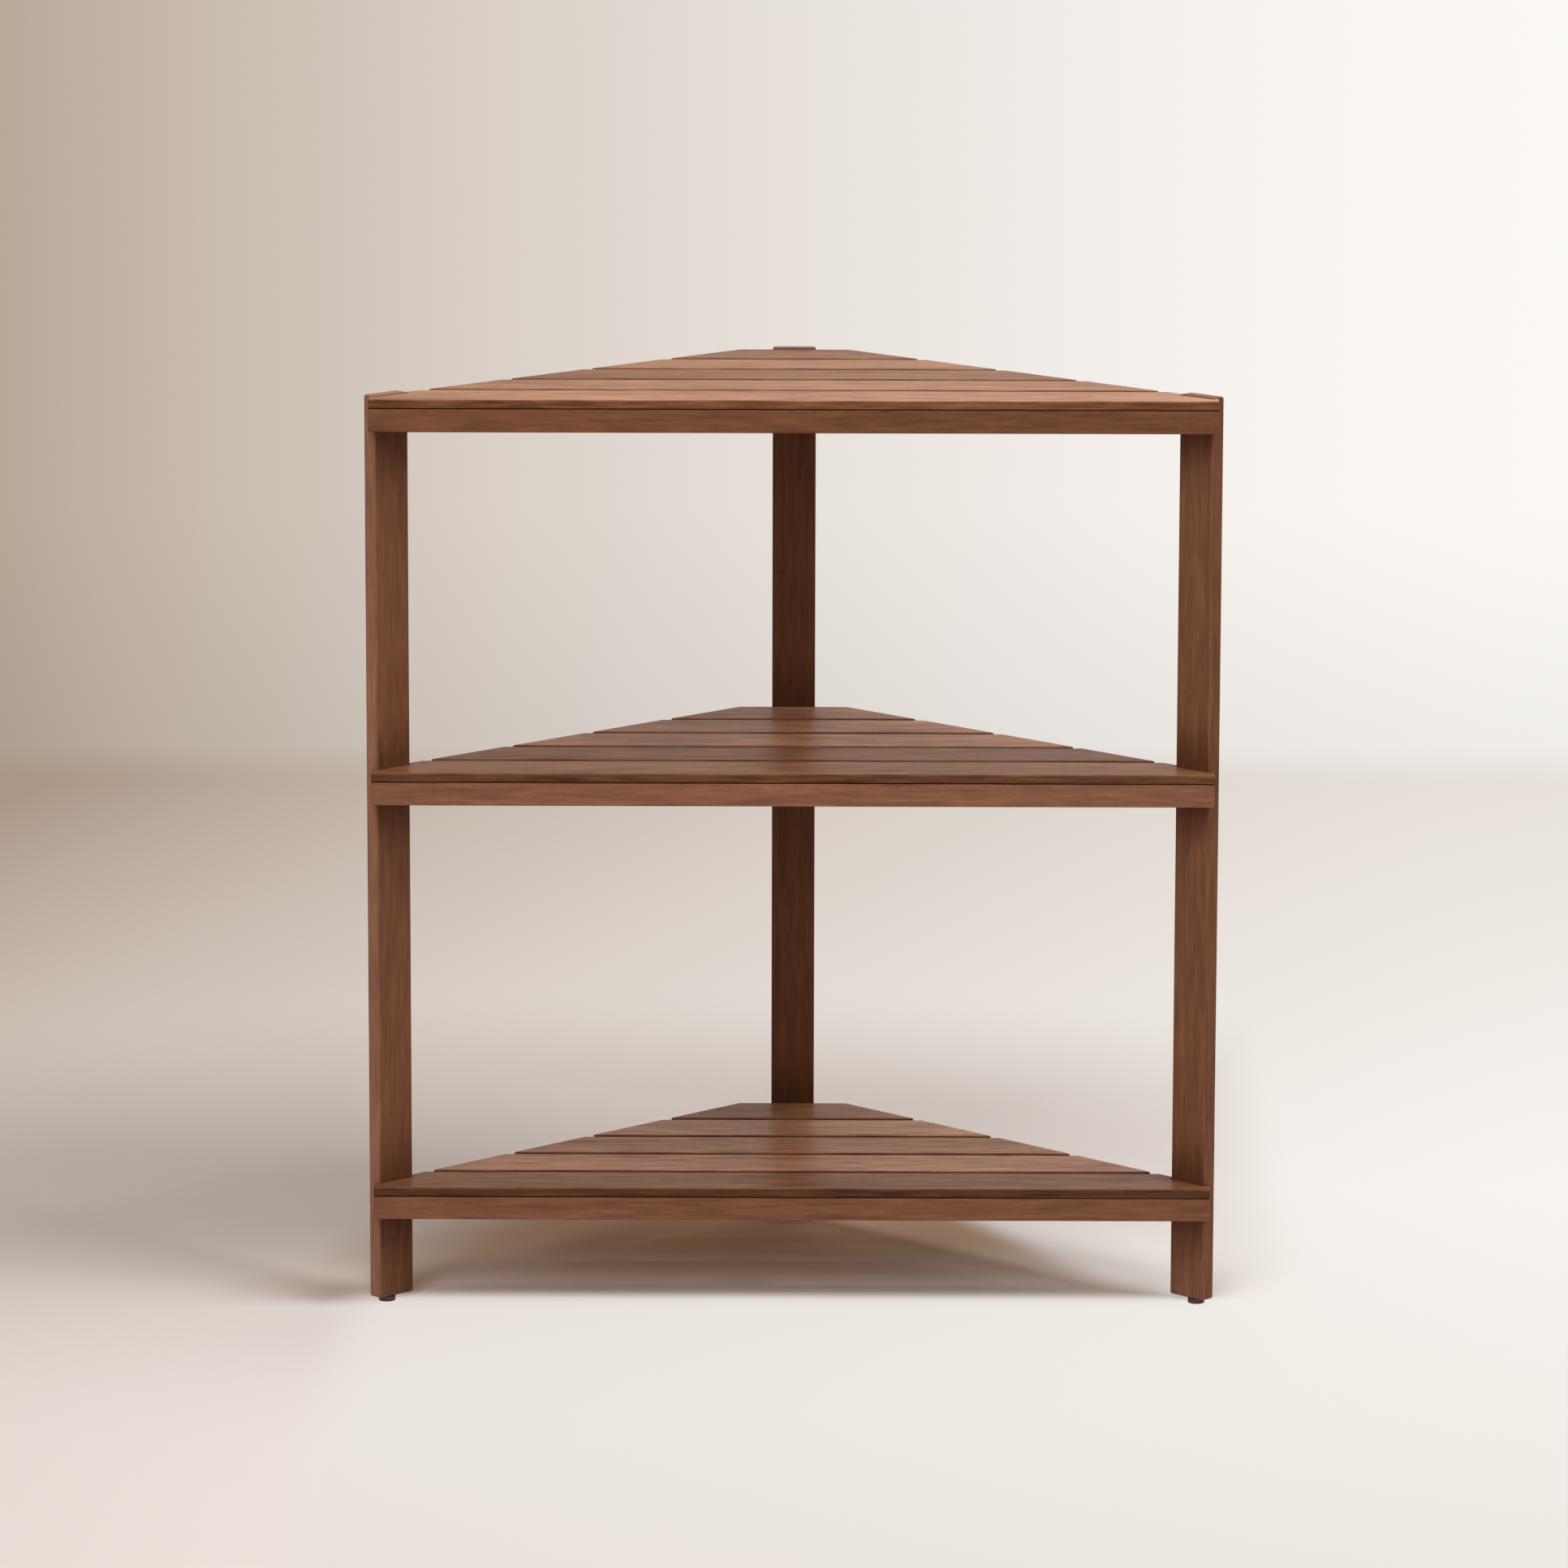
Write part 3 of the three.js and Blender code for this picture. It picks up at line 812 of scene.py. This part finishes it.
for leg_number, (leg_name, leg) in enumerate(LEGS.items()):
    node = f"leg_{leg_name}"
    low, high = span(node)
    middle = centre(node)
    turn = Matrix.Rotation(leg["turn"], 2)
    half = Vector((LEG_WIDTH / 2, LEG_THICKNESS / 2))
    section = [Vector((sx * half.x, sy * half.y)) for sx, sy in ((-1, -1), (1, -1), (1, 1), (-1, 1))]
    outline = [middle.xy + turn @ corner for corner in section]
    post = extrude_outline(f"{leg_name}_leg", outline, low.z, high.z)
    ease_edges(post, LEG_EDGE, 4)
    post = cut_away(post, bolt_hole_cutter(leg), 40)
    number_board(post, FIRST_LEG_BOARD + LEG_BOARD_STEP * leg_number)
    # The inner faces carry the painted corner shade.
    inner = [face.normal.dot(leg["outward"]) < -INNER_FACING for face in post.data.polygons]
    add_attribute(post, "corner", "FACE", [CORNER_STRENGTHS[leg_name] * is_inner for is_inner in inner])
    dress_board(post, leg_tone_rule(leg_name), leg_timber, [node])

# %% [markdown]
# ## Metal and nylon
#
# The bolts are bronzed steel and the screws are bright zinc. The photograph shows neither, so both finishes
# are guesses. Turned metal has fine rings round its axis, but these heads are small, so a fine grainy change
# in roughness is what the eye sees. The glides are moulded nylon: dark brown, slightly rough, with faint
# mottling.

# %% Grain group for small parts
ROUGHNESS_SPREAD = 0.3
MOTTLE_RANGE = (0.35, 0.65)
SPECK_BUMP = 0.4


def build_speckle_group():
    inputs = {"Vector": "Vector", "Speck Size": "Float", "Middle": "Float", "Spread": "Float"}
    outputs = {"Roughness": "Float", "Height": "Float"}
    tree, given, result = new_group("Speckle", "ShaderNodeTree", inputs, outputs)
    scale = add_math(tree, "DIVIDE", 1.0, given["Speck Size"])
    inputs = {"Vector": given["Vector"], "Scale": scale, "Detail": 4.0}
    noise = add_node(tree, "ShaderNodeTexNoise", {}, inputs).outputs["Fac"]
    roughness = scale_add(tree, minus(tree, noise, 0.5), given["Spread"], given["Middle"])
    tree.links.new(roughness, result["Roughness"])
    tree.links.new(noise, result["Height"])
    return tree


speckle = build_speckle_group()


def speckled_material(name, colours, metallic, roughness, speck_size, relief):
    """A small part's finish: two near colours in a fine mottle, with grain in roughness and surface."""
    material, tree = new_material(name)
    place = add_node(tree, "ShaderNodeTexCoord").outputs["Object"]
    sizes = {"Speck Size": speck_size, "Middle": roughness, "Spread": ROUGHNESS_SPREAD}
    group = add_node(tree, "ShaderNodeGroup", {"node_tree": speckle}, {"Vector": place, **sizes})
    ramp = add_node(tree, "ShaderNodeValToRGB", {}, {"Fac": group.outputs["Height"]})
    for element, position, colour in zip(ramp.color_ramp.elements, MOTTLE_RANGE, colours):
        element.position = position
        element.color = linear(colour)
    shader = connect_finish(tree, group, ramp.outputs["Color"], SPECK_BUMP, relief)
    shader.inputs["Metallic"].default_value = metallic
    return material


bolt_steel = speckled_material("bronzed_steel", ("5d5348", "70655a"), 1.0, 0.36, 0.6 * MM, 0.02 * MM)
screw_zinc = speckled_material("zinc_plate", ("9c9a94", "b4b2ab"), 1.0, 0.32, 0.5 * MM, 0.01 * MM)
insert_brass = speckled_material("insert_brass", ("a88646", "bf9c58"), 1.0, 0.34, 0.6 * MM, 0.01 * MM)
glide_nylon = speckled_material("glide_nylon", ("3d1f14", "4c291b"), 0.0, 0.55, 0.9 * MM, 0.03 * MM)
dowel_beech = timber_material("dowel_beech", ALONG_Y, "d2b68c", "b8976a", toned=False)
print("small part materials made")

# %% [markdown]
# ## Bolts and screws, with Geometry Nodes
#
# There are nine leg bolts and 45 slat screws, all alike within their kind, so one head is modelled and a tree
# sets a copy on every place. The places are the points of a small mesh, and each point carries the direction
# that its head looks in. The tree turns the copies to that direction and makes them real.


# %% Tree for fixings on points
def build_fixings_tree():
    inputs = {"Places": "Geometry", "Fixing": "Object", "Metal": "Material"}
    outputs = {"Geometry": "Geometry"}
    tree, given, result = new_group("Fixings on points", "GeometryNodeTree", inputs, outputs)
    fixing = add_node(tree, "GeometryNodeObjectInfo", {}, {"Object": given["Fixing"]}).outputs["Geometry"]
    vector = {"data_type": "FLOAT_VECTOR"}
    facing = add_node(tree, "GeometryNodeInputNamedAttribute", vector, {"Name": "facing"})
    along = {"Vector": facing.outputs["Attribute"]}
    turn = add_node(tree, "FunctionNodeAlignRotationToVector", {"axis": "Z"}, along).outputs[0]
    copies = {"Points": given["Places"], "Instance": fixing, "Rotation": turn}
    placed = add_node(tree, "GeometryNodeInstanceOnPoints", {}, copies).outputs[0]
    whole = add_node(tree, "GeometryNodeRealizeInstances", {}, {"Geometry": placed}).outputs[0]
    coloured = add_node(tree, "GeometryNodeSetMaterial", {}, {"Geometry": whole, "Material": given["Metal"]})
    tree.links.new(coloured.outputs[0], result["Geometry"])
    return tree


fixings_tree = build_fixings_tree()


def set_fixings(name, template, places, metal):
    """Copies a template onto places, each a point and a direction, and returns one plain piece."""
    mesh = bpy.data.meshes.new(name)
    mesh.from_pydata([point for point, _ in places], [], [])
    facing = mesh.attributes.new("facing", "FLOAT_VECTOR", "POINT")
    facing.data.foreach_set("vector", [value for _, direction in places for value in direction])
    holder = run_tree(name, fixings_tree, {"Fixing": template, "Metal": metal}, mesh)
    piece = settle(holder, 30)
    bpy.data.objects.remove(template)
    return piece


print("fixings tree:", len(fixings_tree.nodes), "nodes")

# %% [markdown]
# The bolt is a flat, wide furniture bolt with a hexagon socket. Its head sits half a millimetre below the
# wood.

# %% Leg bolts
HEAD_RADIUS = 6 * MM
HEAD_HEIGHT = 3.6 * MM
HEAD_ROUNDING = 0.7 * MM
SHANK_RADIUS = 3 * MM
SOCKET_RADIUS = 4 * MM / math.sqrt(3)
SOCKET_DEPTH = 2.2 * MM


def bolt_template():
    rounding = [(HEAD_RADIUS - HEAD_ROUNDING, 0), (HEAD_RADIUS - 0.2 * HEAD_ROUNDING, -0.2 * HEAD_ROUNDING)]
    rounding += [(HEAD_RADIUS, -HEAD_ROUNDING), (HEAD_RADIUS, -HEAD_HEIGHT)]
    shank = [(SHANK_RADIUS, -HEAD_HEIGHT), (SHANK_RADIUS, -BOLT_LENGTH), (0, -BOLT_LENGTH)]
    bolt = revolve("bolt", [(0, 0), *rounding, *shank], 36)
    above = 1 * MM
    socket = [(0, above), (SOCKET_RADIUS, above), (SOCKET_RADIUS, -SOCKET_DEPTH)]
    socket.append((0, -SOCKET_DEPTH - 0.5 * MM))
    return cut_away(bolt, revolve("socket", socket, 6))


bolt_places = [(bolt_head_place(tier, leg), leg["outward"]) for tier in TIERS for leg in LEGS.values()]
bolts = set_fixings("leg_bolts", bolt_template(), bolt_places, bolt_steel)
bolt_nodes = [f"{tier}_bolt_{leg['bolt']}" for tier in TIERS for leg in LEGS.values()]
finish_piece(bolts, bolt_steel, bolt_nodes)
print("bolts:", len(bolt_places), "faces:", len(bolts.data.polygons))

# %% [markdown]
# The slat screws are driven up from below, through the side rails and the batten. They are countersunk, with
# a cross recess, and only show when the stand is turned over.

# %% Slat screws
SCREW_HEAD_RADIUS = 3.5 * MM
SCREW_HEAD_HEIGHT = 2.2 * MM
SCREW_RADIUS = 1.75 * MM
SCREW_LENGTH = 24 * MM
SCREW_SINK = 0.3 * MM
CROSS_LENGTH = 4.0 * MM
CROSS_WIDTH = 0.9 * MM
CROSS_DEPTH = 1.5 * MM
FIRST_SCREW_SETBACK = 16 * MM
SIDE_RAIL_MIDDLE_INSET = 24.3 * MM


def cross_cutter():
    shape = bmesh.new()
    for length, width in ((CROSS_LENGTH, CROSS_WIDTH), (CROSS_WIDTH, CROSS_LENGTH)):
        size = Matrix.Diagonal((length, width, 2 * CROSS_DEPTH, 1))
        bmesh.ops.create_cube(shape, size=1, matrix=size)
    return object_from("cross", shape)


def screw_template():
    tip = -SCREW_LENGTH
    profile = [(0, 0), (SCREW_HEAD_RADIUS, 0), (SCREW_HEAD_RADIUS, -0.2 * MM)]
    profile += [(SCREW_RADIUS, -SCREW_HEAD_HEIGHT), (SCREW_RADIUS, tip + 3 * MM), (0, tip)]
    return cut_away(revolve("screw", profile, 24), cross_cutter())


def screw_places(tier):
    """Under every slat: one screw in each side rail and one in the batten."""
    places = []
    under = span(f"{tier}_side_rail_left")[0].z + SCREW_SINK
    wall_point = leg_middle - INTO_STAND * (LEG_THICKNESS / 2) + INTO_STAND * SIDE_RAIL_MIDDLE_INSET
    for number in range(1, SLATS + 1):
        y = centre(f"{tier}_slat_{number}").y
        rail_y = y + FIRST_SCREW_SETBACK if number == 1 else y
        rail_x = wall_point.x + (rail_y - wall_point.y)
        places += [Vector((rail_x, rail_y, under)), Vector((-rail_x, rail_y, under)), Vector((0, y, under))]
    return [(place, Vector((0, 0, -1))) for place in places]


all_screws = [place for tier in TIERS for place in screw_places(tier)]
screws = set_fixings("slat_screws", screw_template(), all_screws, screw_zinc)
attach(screws, "root")
print("screws:", len(all_screws), "faces:", len(screws.data.polygons))

# %% [markdown]
# ## The glides
#
# A round nylon glide is nailed under each leg, so that the end grain never stands on a wet floor. It is a
# turned shape: a low disc with rounded rims and a dimple, at whose bottom the nail's head shows.

# %% Glides
GLIDE_RADIUS = 8 * MM
GLIDE_HEIGHT = 4.7 * MM
GLIDE_EDGE = 0.8 * MM
DIMPLE_RADIUS = 2.5 * MM
DIMPLE_DEPTH = 0.8 * MM
NAIL_RADIUS = 1.5 * MM
NAIL_TOP = 19 * MM


def glide_profile():
    steps = [math.radians(angle) for angle in (0, 30, 60, 90)]
    inner = GLIDE_RADIUS - GLIDE_EDGE
    top = GLIDE_HEIGHT - GLIDE_EDGE
    lower = [(inner + GLIDE_EDGE * math.sin(a), GLIDE_EDGE * (1 - math.cos(a))) for a in steps]
    upper = [(inner + GLIDE_EDGE * math.cos(a), top + GLIDE_EDGE * math.sin(a)) for a in steps]
    nail = [(NAIL_RADIUS, GLIDE_HEIGHT), (NAIL_RADIUS, NAIL_TOP - 2.5 * MM), (0, NAIL_TOP)]
    dimple = [(0, DIMPLE_DEPTH), (DIMPLE_RADIUS - 0.3 * MM, DIMPLE_DEPTH), (DIMPLE_RADIUS, 0)]
    return [*dimple, *lower, *upper, *nail]


for leg_name in LEGS:
    node = f"glide_{leg_name}"
    glide = revolve(f"{leg_name}_glide", glide_profile(), 40)
    place = centre(node)
    glide.data.transform(Matrix.Translation((place.x, place.y, 0)))
    glide = settle(glide, 45)
    finish_piece(glide, glide_nylon, [node])
    print(glide.name, "faces:", len(glide.data.polygons))

# %% [markdown]
# ## Frame pieces that keep their construction shape
#
# Side rails, back blocks, battens, inserts and dowels are already the right shape, with eased edges and their
# holes, and they are mostly hidden. They stay as they are and get the same finishes as their neighbours.

# %% Materials for the kept pieces
KEPT = {
    "side_rail_left": frame_timber["left_rail"],
    "side_rail_right": frame_timber["right_rail"],
    "back_block": frame_timber["block"],
    "centre_batten": frame_timber["batten"],
    "dowel_left": dowel_beech,
    "dowel_right": dowel_beech,
    "insert_left": insert_brass,
    "insert_right": insert_brass,
    "insert_back": insert_brass,
}
for tier in TIERS:
    for part, material in KEPT.items():
        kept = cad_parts[f"{tier}_{part}"]
        for slot in kept.material_slots:
            slot.material = material
print("kept pieces:", len(TIERS) * len(KEPT))

# %% [markdown]
# ## The studio
#
# The photograph has a pale warm studio: a floor, and behind it a wall that is darker on the left. Floor and
# wall are one swept sheet with a tight bend. Its far side is see-through, so that the stand can also be seen
# from behind.

# %% The sheet
WALL_Y = 2.55
BEND_RADIUS = 0.06
FLOOR_FRONT = -12.0
WALL_TOP = 7.0
STAGE_HALF_WIDTH = 9.0


def stage_profile():
    middle = Vector((WALL_Y - BEND_RADIUS, BEND_RADIUS))
    steps = [math.radians(a) for a in range(0, 91, 10)]
    bend = [(middle.x + BEND_RADIUS * math.sin(a), middle.y - BEND_RADIUS * math.cos(a)) for a in steps]
    return [(FLOOR_FRONT, 0.0), *bend, (WALL_Y, WALL_TOP)]


def build_stage():
    shape = bmesh.new()
    columns = []
    for x in (-STAGE_HALF_WIDTH, STAGE_HALF_WIDTH):
        columns.append([shape.verts.new((x, y, z)) for y, z in stage_profile()])
    left, right = columns
    for i in range(len(left) - 1):
        shape.faces.new((left[i], right[i], right[i + 1], left[i + 1]))
    sheet = object_from("studio", shape)
    sheet.data.shade_smooth()
    return sheet


stage = build_stage()
print("stage faces:", len(stage.data.polygons))

# %% [markdown]
# ## Painted shade that darkens to the left
#
# Floor and wall each mix a light tone with a dark one along X, as painted shade of light that comes from the
# right.
# The floor has more painted shade behind the stand, and a little more with the distance from its lightest
# line.

# %% Tones of floor and wall
FLOOR_LIGHT, FLOOR_SHADE = linear("f9f5f0"), linear("ac9787")
WALL_LIGHT, WALL_SHADE = linear("fcf9f5"), linear("b8a696")
RIGHT_EDGE, LEFT_EDGE = 1.0, -1.03
SIDE_FADE = 1.5
FRONT_Y, BEHIND_Y = -0.7, 0.4
SHADE_IN_FRONT, SHADE_BEHIND, SHADE_AT_WALL = 0.18, 0.60, 0.18
LIGHTEST_Y = 0.3
SHADE_PER_METRE, FARTHEST_SHADE = 0.12, 2.3
WALL_FOOT, WALL_FOOT_HEIGHT = 0.88, 0.35


def shade_from_left(tree, at):
    """One at the left of the picture, fading to zero at its right."""
    return add_math(tree, "POWER", remap(tree, at["X"], RIGHT_EDGE, LEFT_EDGE), SIDE_FADE)


def floor_tone(tree, at, from_left):
    behind = smooth_step(tree, at["Y"], FRONT_Y, BEHIND_Y, SHADE_IN_FRONT, SHADE_BEHIND)
    to_wall = remap(tree, at["Y"], LIGHTEST_Y, WALL_Y, 0.0, SHADE_AT_WALL)
    away = add_math(tree, "ABSOLUTE", minus(tree, at["Y"], LIGHTEST_Y))
    away = product(tree, add_math(tree, "MINIMUM", away, FARTHEST_SHADE), SHADE_PER_METRE)
    shade = scale_add(tree, from_left, plus(tree, behind, to_wall), away)
    return mix_colours(tree, shade, FLOOR_LIGHT, FLOOR_SHADE)


def wall_tone(tree, at, from_left):
    """The wall also has a little painted shade towards its foot."""
    colour = mix_colours(tree, from_left, WALL_LIGHT, WALL_SHADE)
    lift = {0: colour, "Scale": remap(tree, at["Z"], 0.0, WALL_FOOT_HEIGHT, WALL_FOOT)}
    return add_node(tree, "ShaderNodeVectorMath", {"operation": "SCALE"}, lift).outputs[0]


print(f"the paint darkens from x = {RIGHT_EDGE} to x = {LEFT_EDGE}")

# %% [markdown]
# ## The painted part of the shadow
#
# The lamps alone don't give the photograph's shadow, so part of it is painted on the floor: a brown area
# below the stand with slanting sides, and a thinner wedge at its left. The same area glows faintly brown,
# like light that comes back from the timber. All of it is placed for the front view. It stays when the lamps
# move, and from behind it shows as a brown patch.

# %% Painted shadow
UNDER_STAND, UNDER_SIDES = linear("d0b49a"), linear("a7917c")
LEFT_SLANT, RIGHT_SLANT = 0.6, 0.52
LEFT_MARGIN = 0.08
LEFT_RANGE, RIGHT_RANGE, BACK_RANGE = (-0.16, 0.05), (0.39, 0.33), (0.48, 0.36)
GLOW_RANGE, DENSITY_RANGE = (0.02, 0.08), (0.0, 0.30)
WEDGE_DENSITY = 0.5
WEDGE_SIDE_RANGE, WEDGE_FRONT_RANGE = (-0.36, -0.44), (0.0, 0.06)
CORE_SHIFT = 0.03
CORE_RANGE = (0.02, 0.18)


def painted_shadow(tree, at, colour):
    """How much the floor glows below the stand, and the floor's colour with the painted shadow."""
    low = cad_box[0]
    depth = minus(tree, at["Y"], low[1])
    left_side = scale_add(tree, depth, LEFT_SLANT, low[0] - LEFT_MARGIN)
    from_left = minus(tree, at["X"], left_side)
    from_right = scale_add(tree, depth, RIGHT_SLANT, at["X"])
    limits = ((from_left, LEFT_RANGE), (from_right, RIGHT_RANGE), (depth, BACK_RANGE))
    area = product(tree, *[smooth_step(tree, value, *ends) for value, ends in limits])
    glow = product(tree, area, smooth_step(tree, depth, *GLOW_RANGE))
    wedge = ((at["X"], WEDGE_SIDE_RANGE), (depth, WEDGE_FRONT_RANGE))
    wedge = product(tree, *[smooth_step(tree, value, *ends) for value, ends in wedge], WEDGE_DENSITY)
    density = largest(tree, wedge, smooth_step(tree, depth, *DENSITY_RANGE))
    from_core = add_math(tree, "ABSOLUTE", plus(tree, at["X"], CORE_SHIFT))
    brown = mix_colours(tree, smooth_step(tree, from_core, *CORE_RANGE), UNDER_STAND, UNDER_SIDES)
    return glow, mix_colours(tree, product(tree, area, density), colour, brown)


print("the painted shadow starts at y =", round(cad_box[0][1], 3))

# %% [markdown]
# ## Where the floor shows its paint as it is
#
# Near the stand the floor takes the lamps' light and the shadow. Far from it, on its right and just in front
# of it the floor shines with its own colour, because the lamps would darken it there. The start of the shine
# in front gives the shadow its crisp front edge.

# %% Floor shine
SHINE_CENTRE = {"X": -0.1, "Y": -0.2}
FAR_RANGE = (0.8, 1.5)
RIGHT_X_RANGE, RIGHT_Y_RANGE = (0.38, 0.52), (-0.9, -0.1)
FRONT_SHINE = 0.9
FRONT_DEPTH_RANGE, FRONT_X_RANGE = (0.075, 0.03), (-0.46, -0.38)


def floor_shine(tree, at):
    """How far the floor shines by itself, from zero to one."""
    offsets = [minus(tree, at[axis], middle) for axis, middle in SHINE_CENTRE.items()]
    squares = [product(tree, value, value) for value in offsets]
    distance = add_math(tree, "SQRT", plus(tree, *squares))
    far = smooth_step(tree, distance, *FAR_RANGE)
    right_x = smooth_step(tree, at["X"], *RIGHT_X_RANGE)
    right_side = product(tree, right_x, smooth_step(tree, at["Y"], *RIGHT_Y_RANGE))
    depth = minus(tree, at["Y"], cad_box[0][1])
    front_depth = smooth_step(tree, depth, *FRONT_DEPTH_RANGE)
    front_x = smooth_step(tree, at["X"], *FRONT_X_RANGE)
    in_front = product(tree, front_depth, FRONT_SHINE, front_x)
    return largest(tree, far, right_side, in_front)


print(f"the floor shines fully from {FAR_RANGE[1]} m on")

# %% [markdown]
# ## The studio's material
#
# Camera rays and reflections see the wall's own colour. Other rays meet it as matt paint. The floor does the
# same as far as it shines. The light on the matt floor is a little warm, so its colour is corrected towards
# blue.

# %% The studio's material
SEAM_HEIGHT = 0.05
TIMBER_BOUNCE = linear("452f20")
LAMP_CORRECTION = (1.01, 1.04, 1.09)


def seen_directly(tree):
    """One for rays from the camera, and for those that a shiny or clear surface sends on."""
    path = add_node(tree, "ShaderNodeLightPath").outputs
    flags = ("Is Camera Ray", "Is Glossy Ray", "Is Transmission Ray")
    return largest(tree, *[path[flag] for flag in flags])


def mix_shaders(tree, factor, first, second):
    return add_node(tree, "ShaderNodeMixShader", {}, {0: factor, 1: first, 2: second}).outputs[0]


def matt(tree, colour):
    return add_node(tree, "ShaderNodeBsdfDiffuse", {}, {"Color": colour}).outputs[0]


def glowing(tree, colour, strength=1.0):
    return add_node(tree, "ShaderNodeEmission", {}, {"Color": colour, "Strength": strength}).outputs[0]


def stage_material():
    material, tree = new_material("studio_paint")
    tree.nodes.remove(tree.nodes["Principled BSDF"])
    at = split(tree, add_node(tree, "ShaderNodeTexCoord").outputs["Object"])
    from_left = shade_from_left(tree, at)
    glow, floor_colour = painted_shadow(tree, at, floor_tone(tree, at, from_left))
    wall_colour = wall_tone(tree, at, from_left)
    seen = seen_directly(tree)

    corrected = matt(tree, add_vector_math(tree, "MULTIPLY", floor_colour, LAMP_CORRECTION))
    lit = {0: corrected, 1: glowing(tree, TIMBER_BOUNCE, glow)}
    paint = add_node(tree, "ShaderNodeAddShader", {}, lit).outputs[0]
    seen_floor = product(tree, seen, floor_shine(tree, at))
    floor = mix_shaders(tree, seen_floor, paint, glowing(tree, floor_colour))
    wall = mix_shaders(tree, seen, matt(tree, wall_colour), glowing(tree, wall_colour))
    sheet = mix_shaders(tree, smooth_step(tree, at["Z"], 0.0, SEAM_HEIGHT), floor, wall)
    clear = add_node(tree, "ShaderNodeBsdfTransparent").outputs[0]
    behind = add_node(tree, "ShaderNodeNewGeometry").outputs["Backfacing"]
    tree.links.new(mix_shaders(tree, behind, sheet, clear), tree.nodes["Material Output"].inputs["Surface"])
    return material


stage.data.materials.append(stage_material())
print("studio material:", stage.data.materials[0].name)

# %% [markdown]
# ## Light
#
# A strong soft lamp high at the front right throws the shadow to the left and back. A second one hangs in
# front, a little to the left, and a wide one at the front left lights the rails. A weak lamp stands far to
# the right, and a small one over the top shelf. The air is weak and warm for the timber, but pale where the
# camera, a reflection or a clear surface sees it, which isn't physical.

# %% Lamps and world
LAMP_WHITE = linear("fffdfb")
LAMP_TARGET = Vector((0, 0, 0.45))
AIR, AIR_STRENGTH = linear("ecbf96"), 0.14
SEEN_AIR = linear("f3eee8")
LAMPS = {
    "overhead": ((1.5, -1.1, 3.3), (1.4, 1.4), 64),
    "key": ((-0.6, -2.3, 3.0), (1.6, 1.6), 42),
    "right": ((3.0, -0.2, 2.2), (1.4, 1.4), 9),
    "front": ((-1.6, -4.8, 2.2), (2.0, 2.0), 60),
    "top_light": ((0.1, 0.1, 2.0), (1.0, 0.6), 3.5),
}


def add_lamp(name, place, size, power):
    data = bpy.data.lights.new(name, "AREA")
    data.shape = "RECTANGLE"
    data.size, data.size_y = size
    data.energy = power
    data.color = LAMP_WHITE[:3]
    lamp = bpy.data.objects.new(name, data)
    aim = (LAMP_TARGET - Vector(place)).to_track_quat("-Z", "Y").to_matrix().to_4x4()
    lamp.matrix_world = Matrix.Translation(place) @ aim
    bpy.context.scene.collection.objects.link(lamp)


for lamp_name, (place, size, power) in LAMPS.items():
    add_lamp(lamp_name, place, size, power)

world = bpy.data.worlds.new("studio_air")
bpy.context.scene.world = world
world.use_nodes = True
sky = world.node_tree
air = sky.nodes["Background"]
air.inputs["Color"].default_value = AIR
air.inputs["Strength"].default_value = AIR_STRENGTH
backdrop = add_node(sky, "ShaderNodeBackground", {}, {"Color": SEEN_AIR, "Strength": 1.0}).outputs[0]
both = mix_shaders(sky, seen_directly(sky), air.outputs[0], backdrop)
sky.links.new(both, sky.nodes["World Output"].inputs["Surface"])

# %% [markdown]
#
# The Standard view transform shows colours as they are written.

# %% Finish
bpy.context.scene.view_settings.view_transform = "Standard"
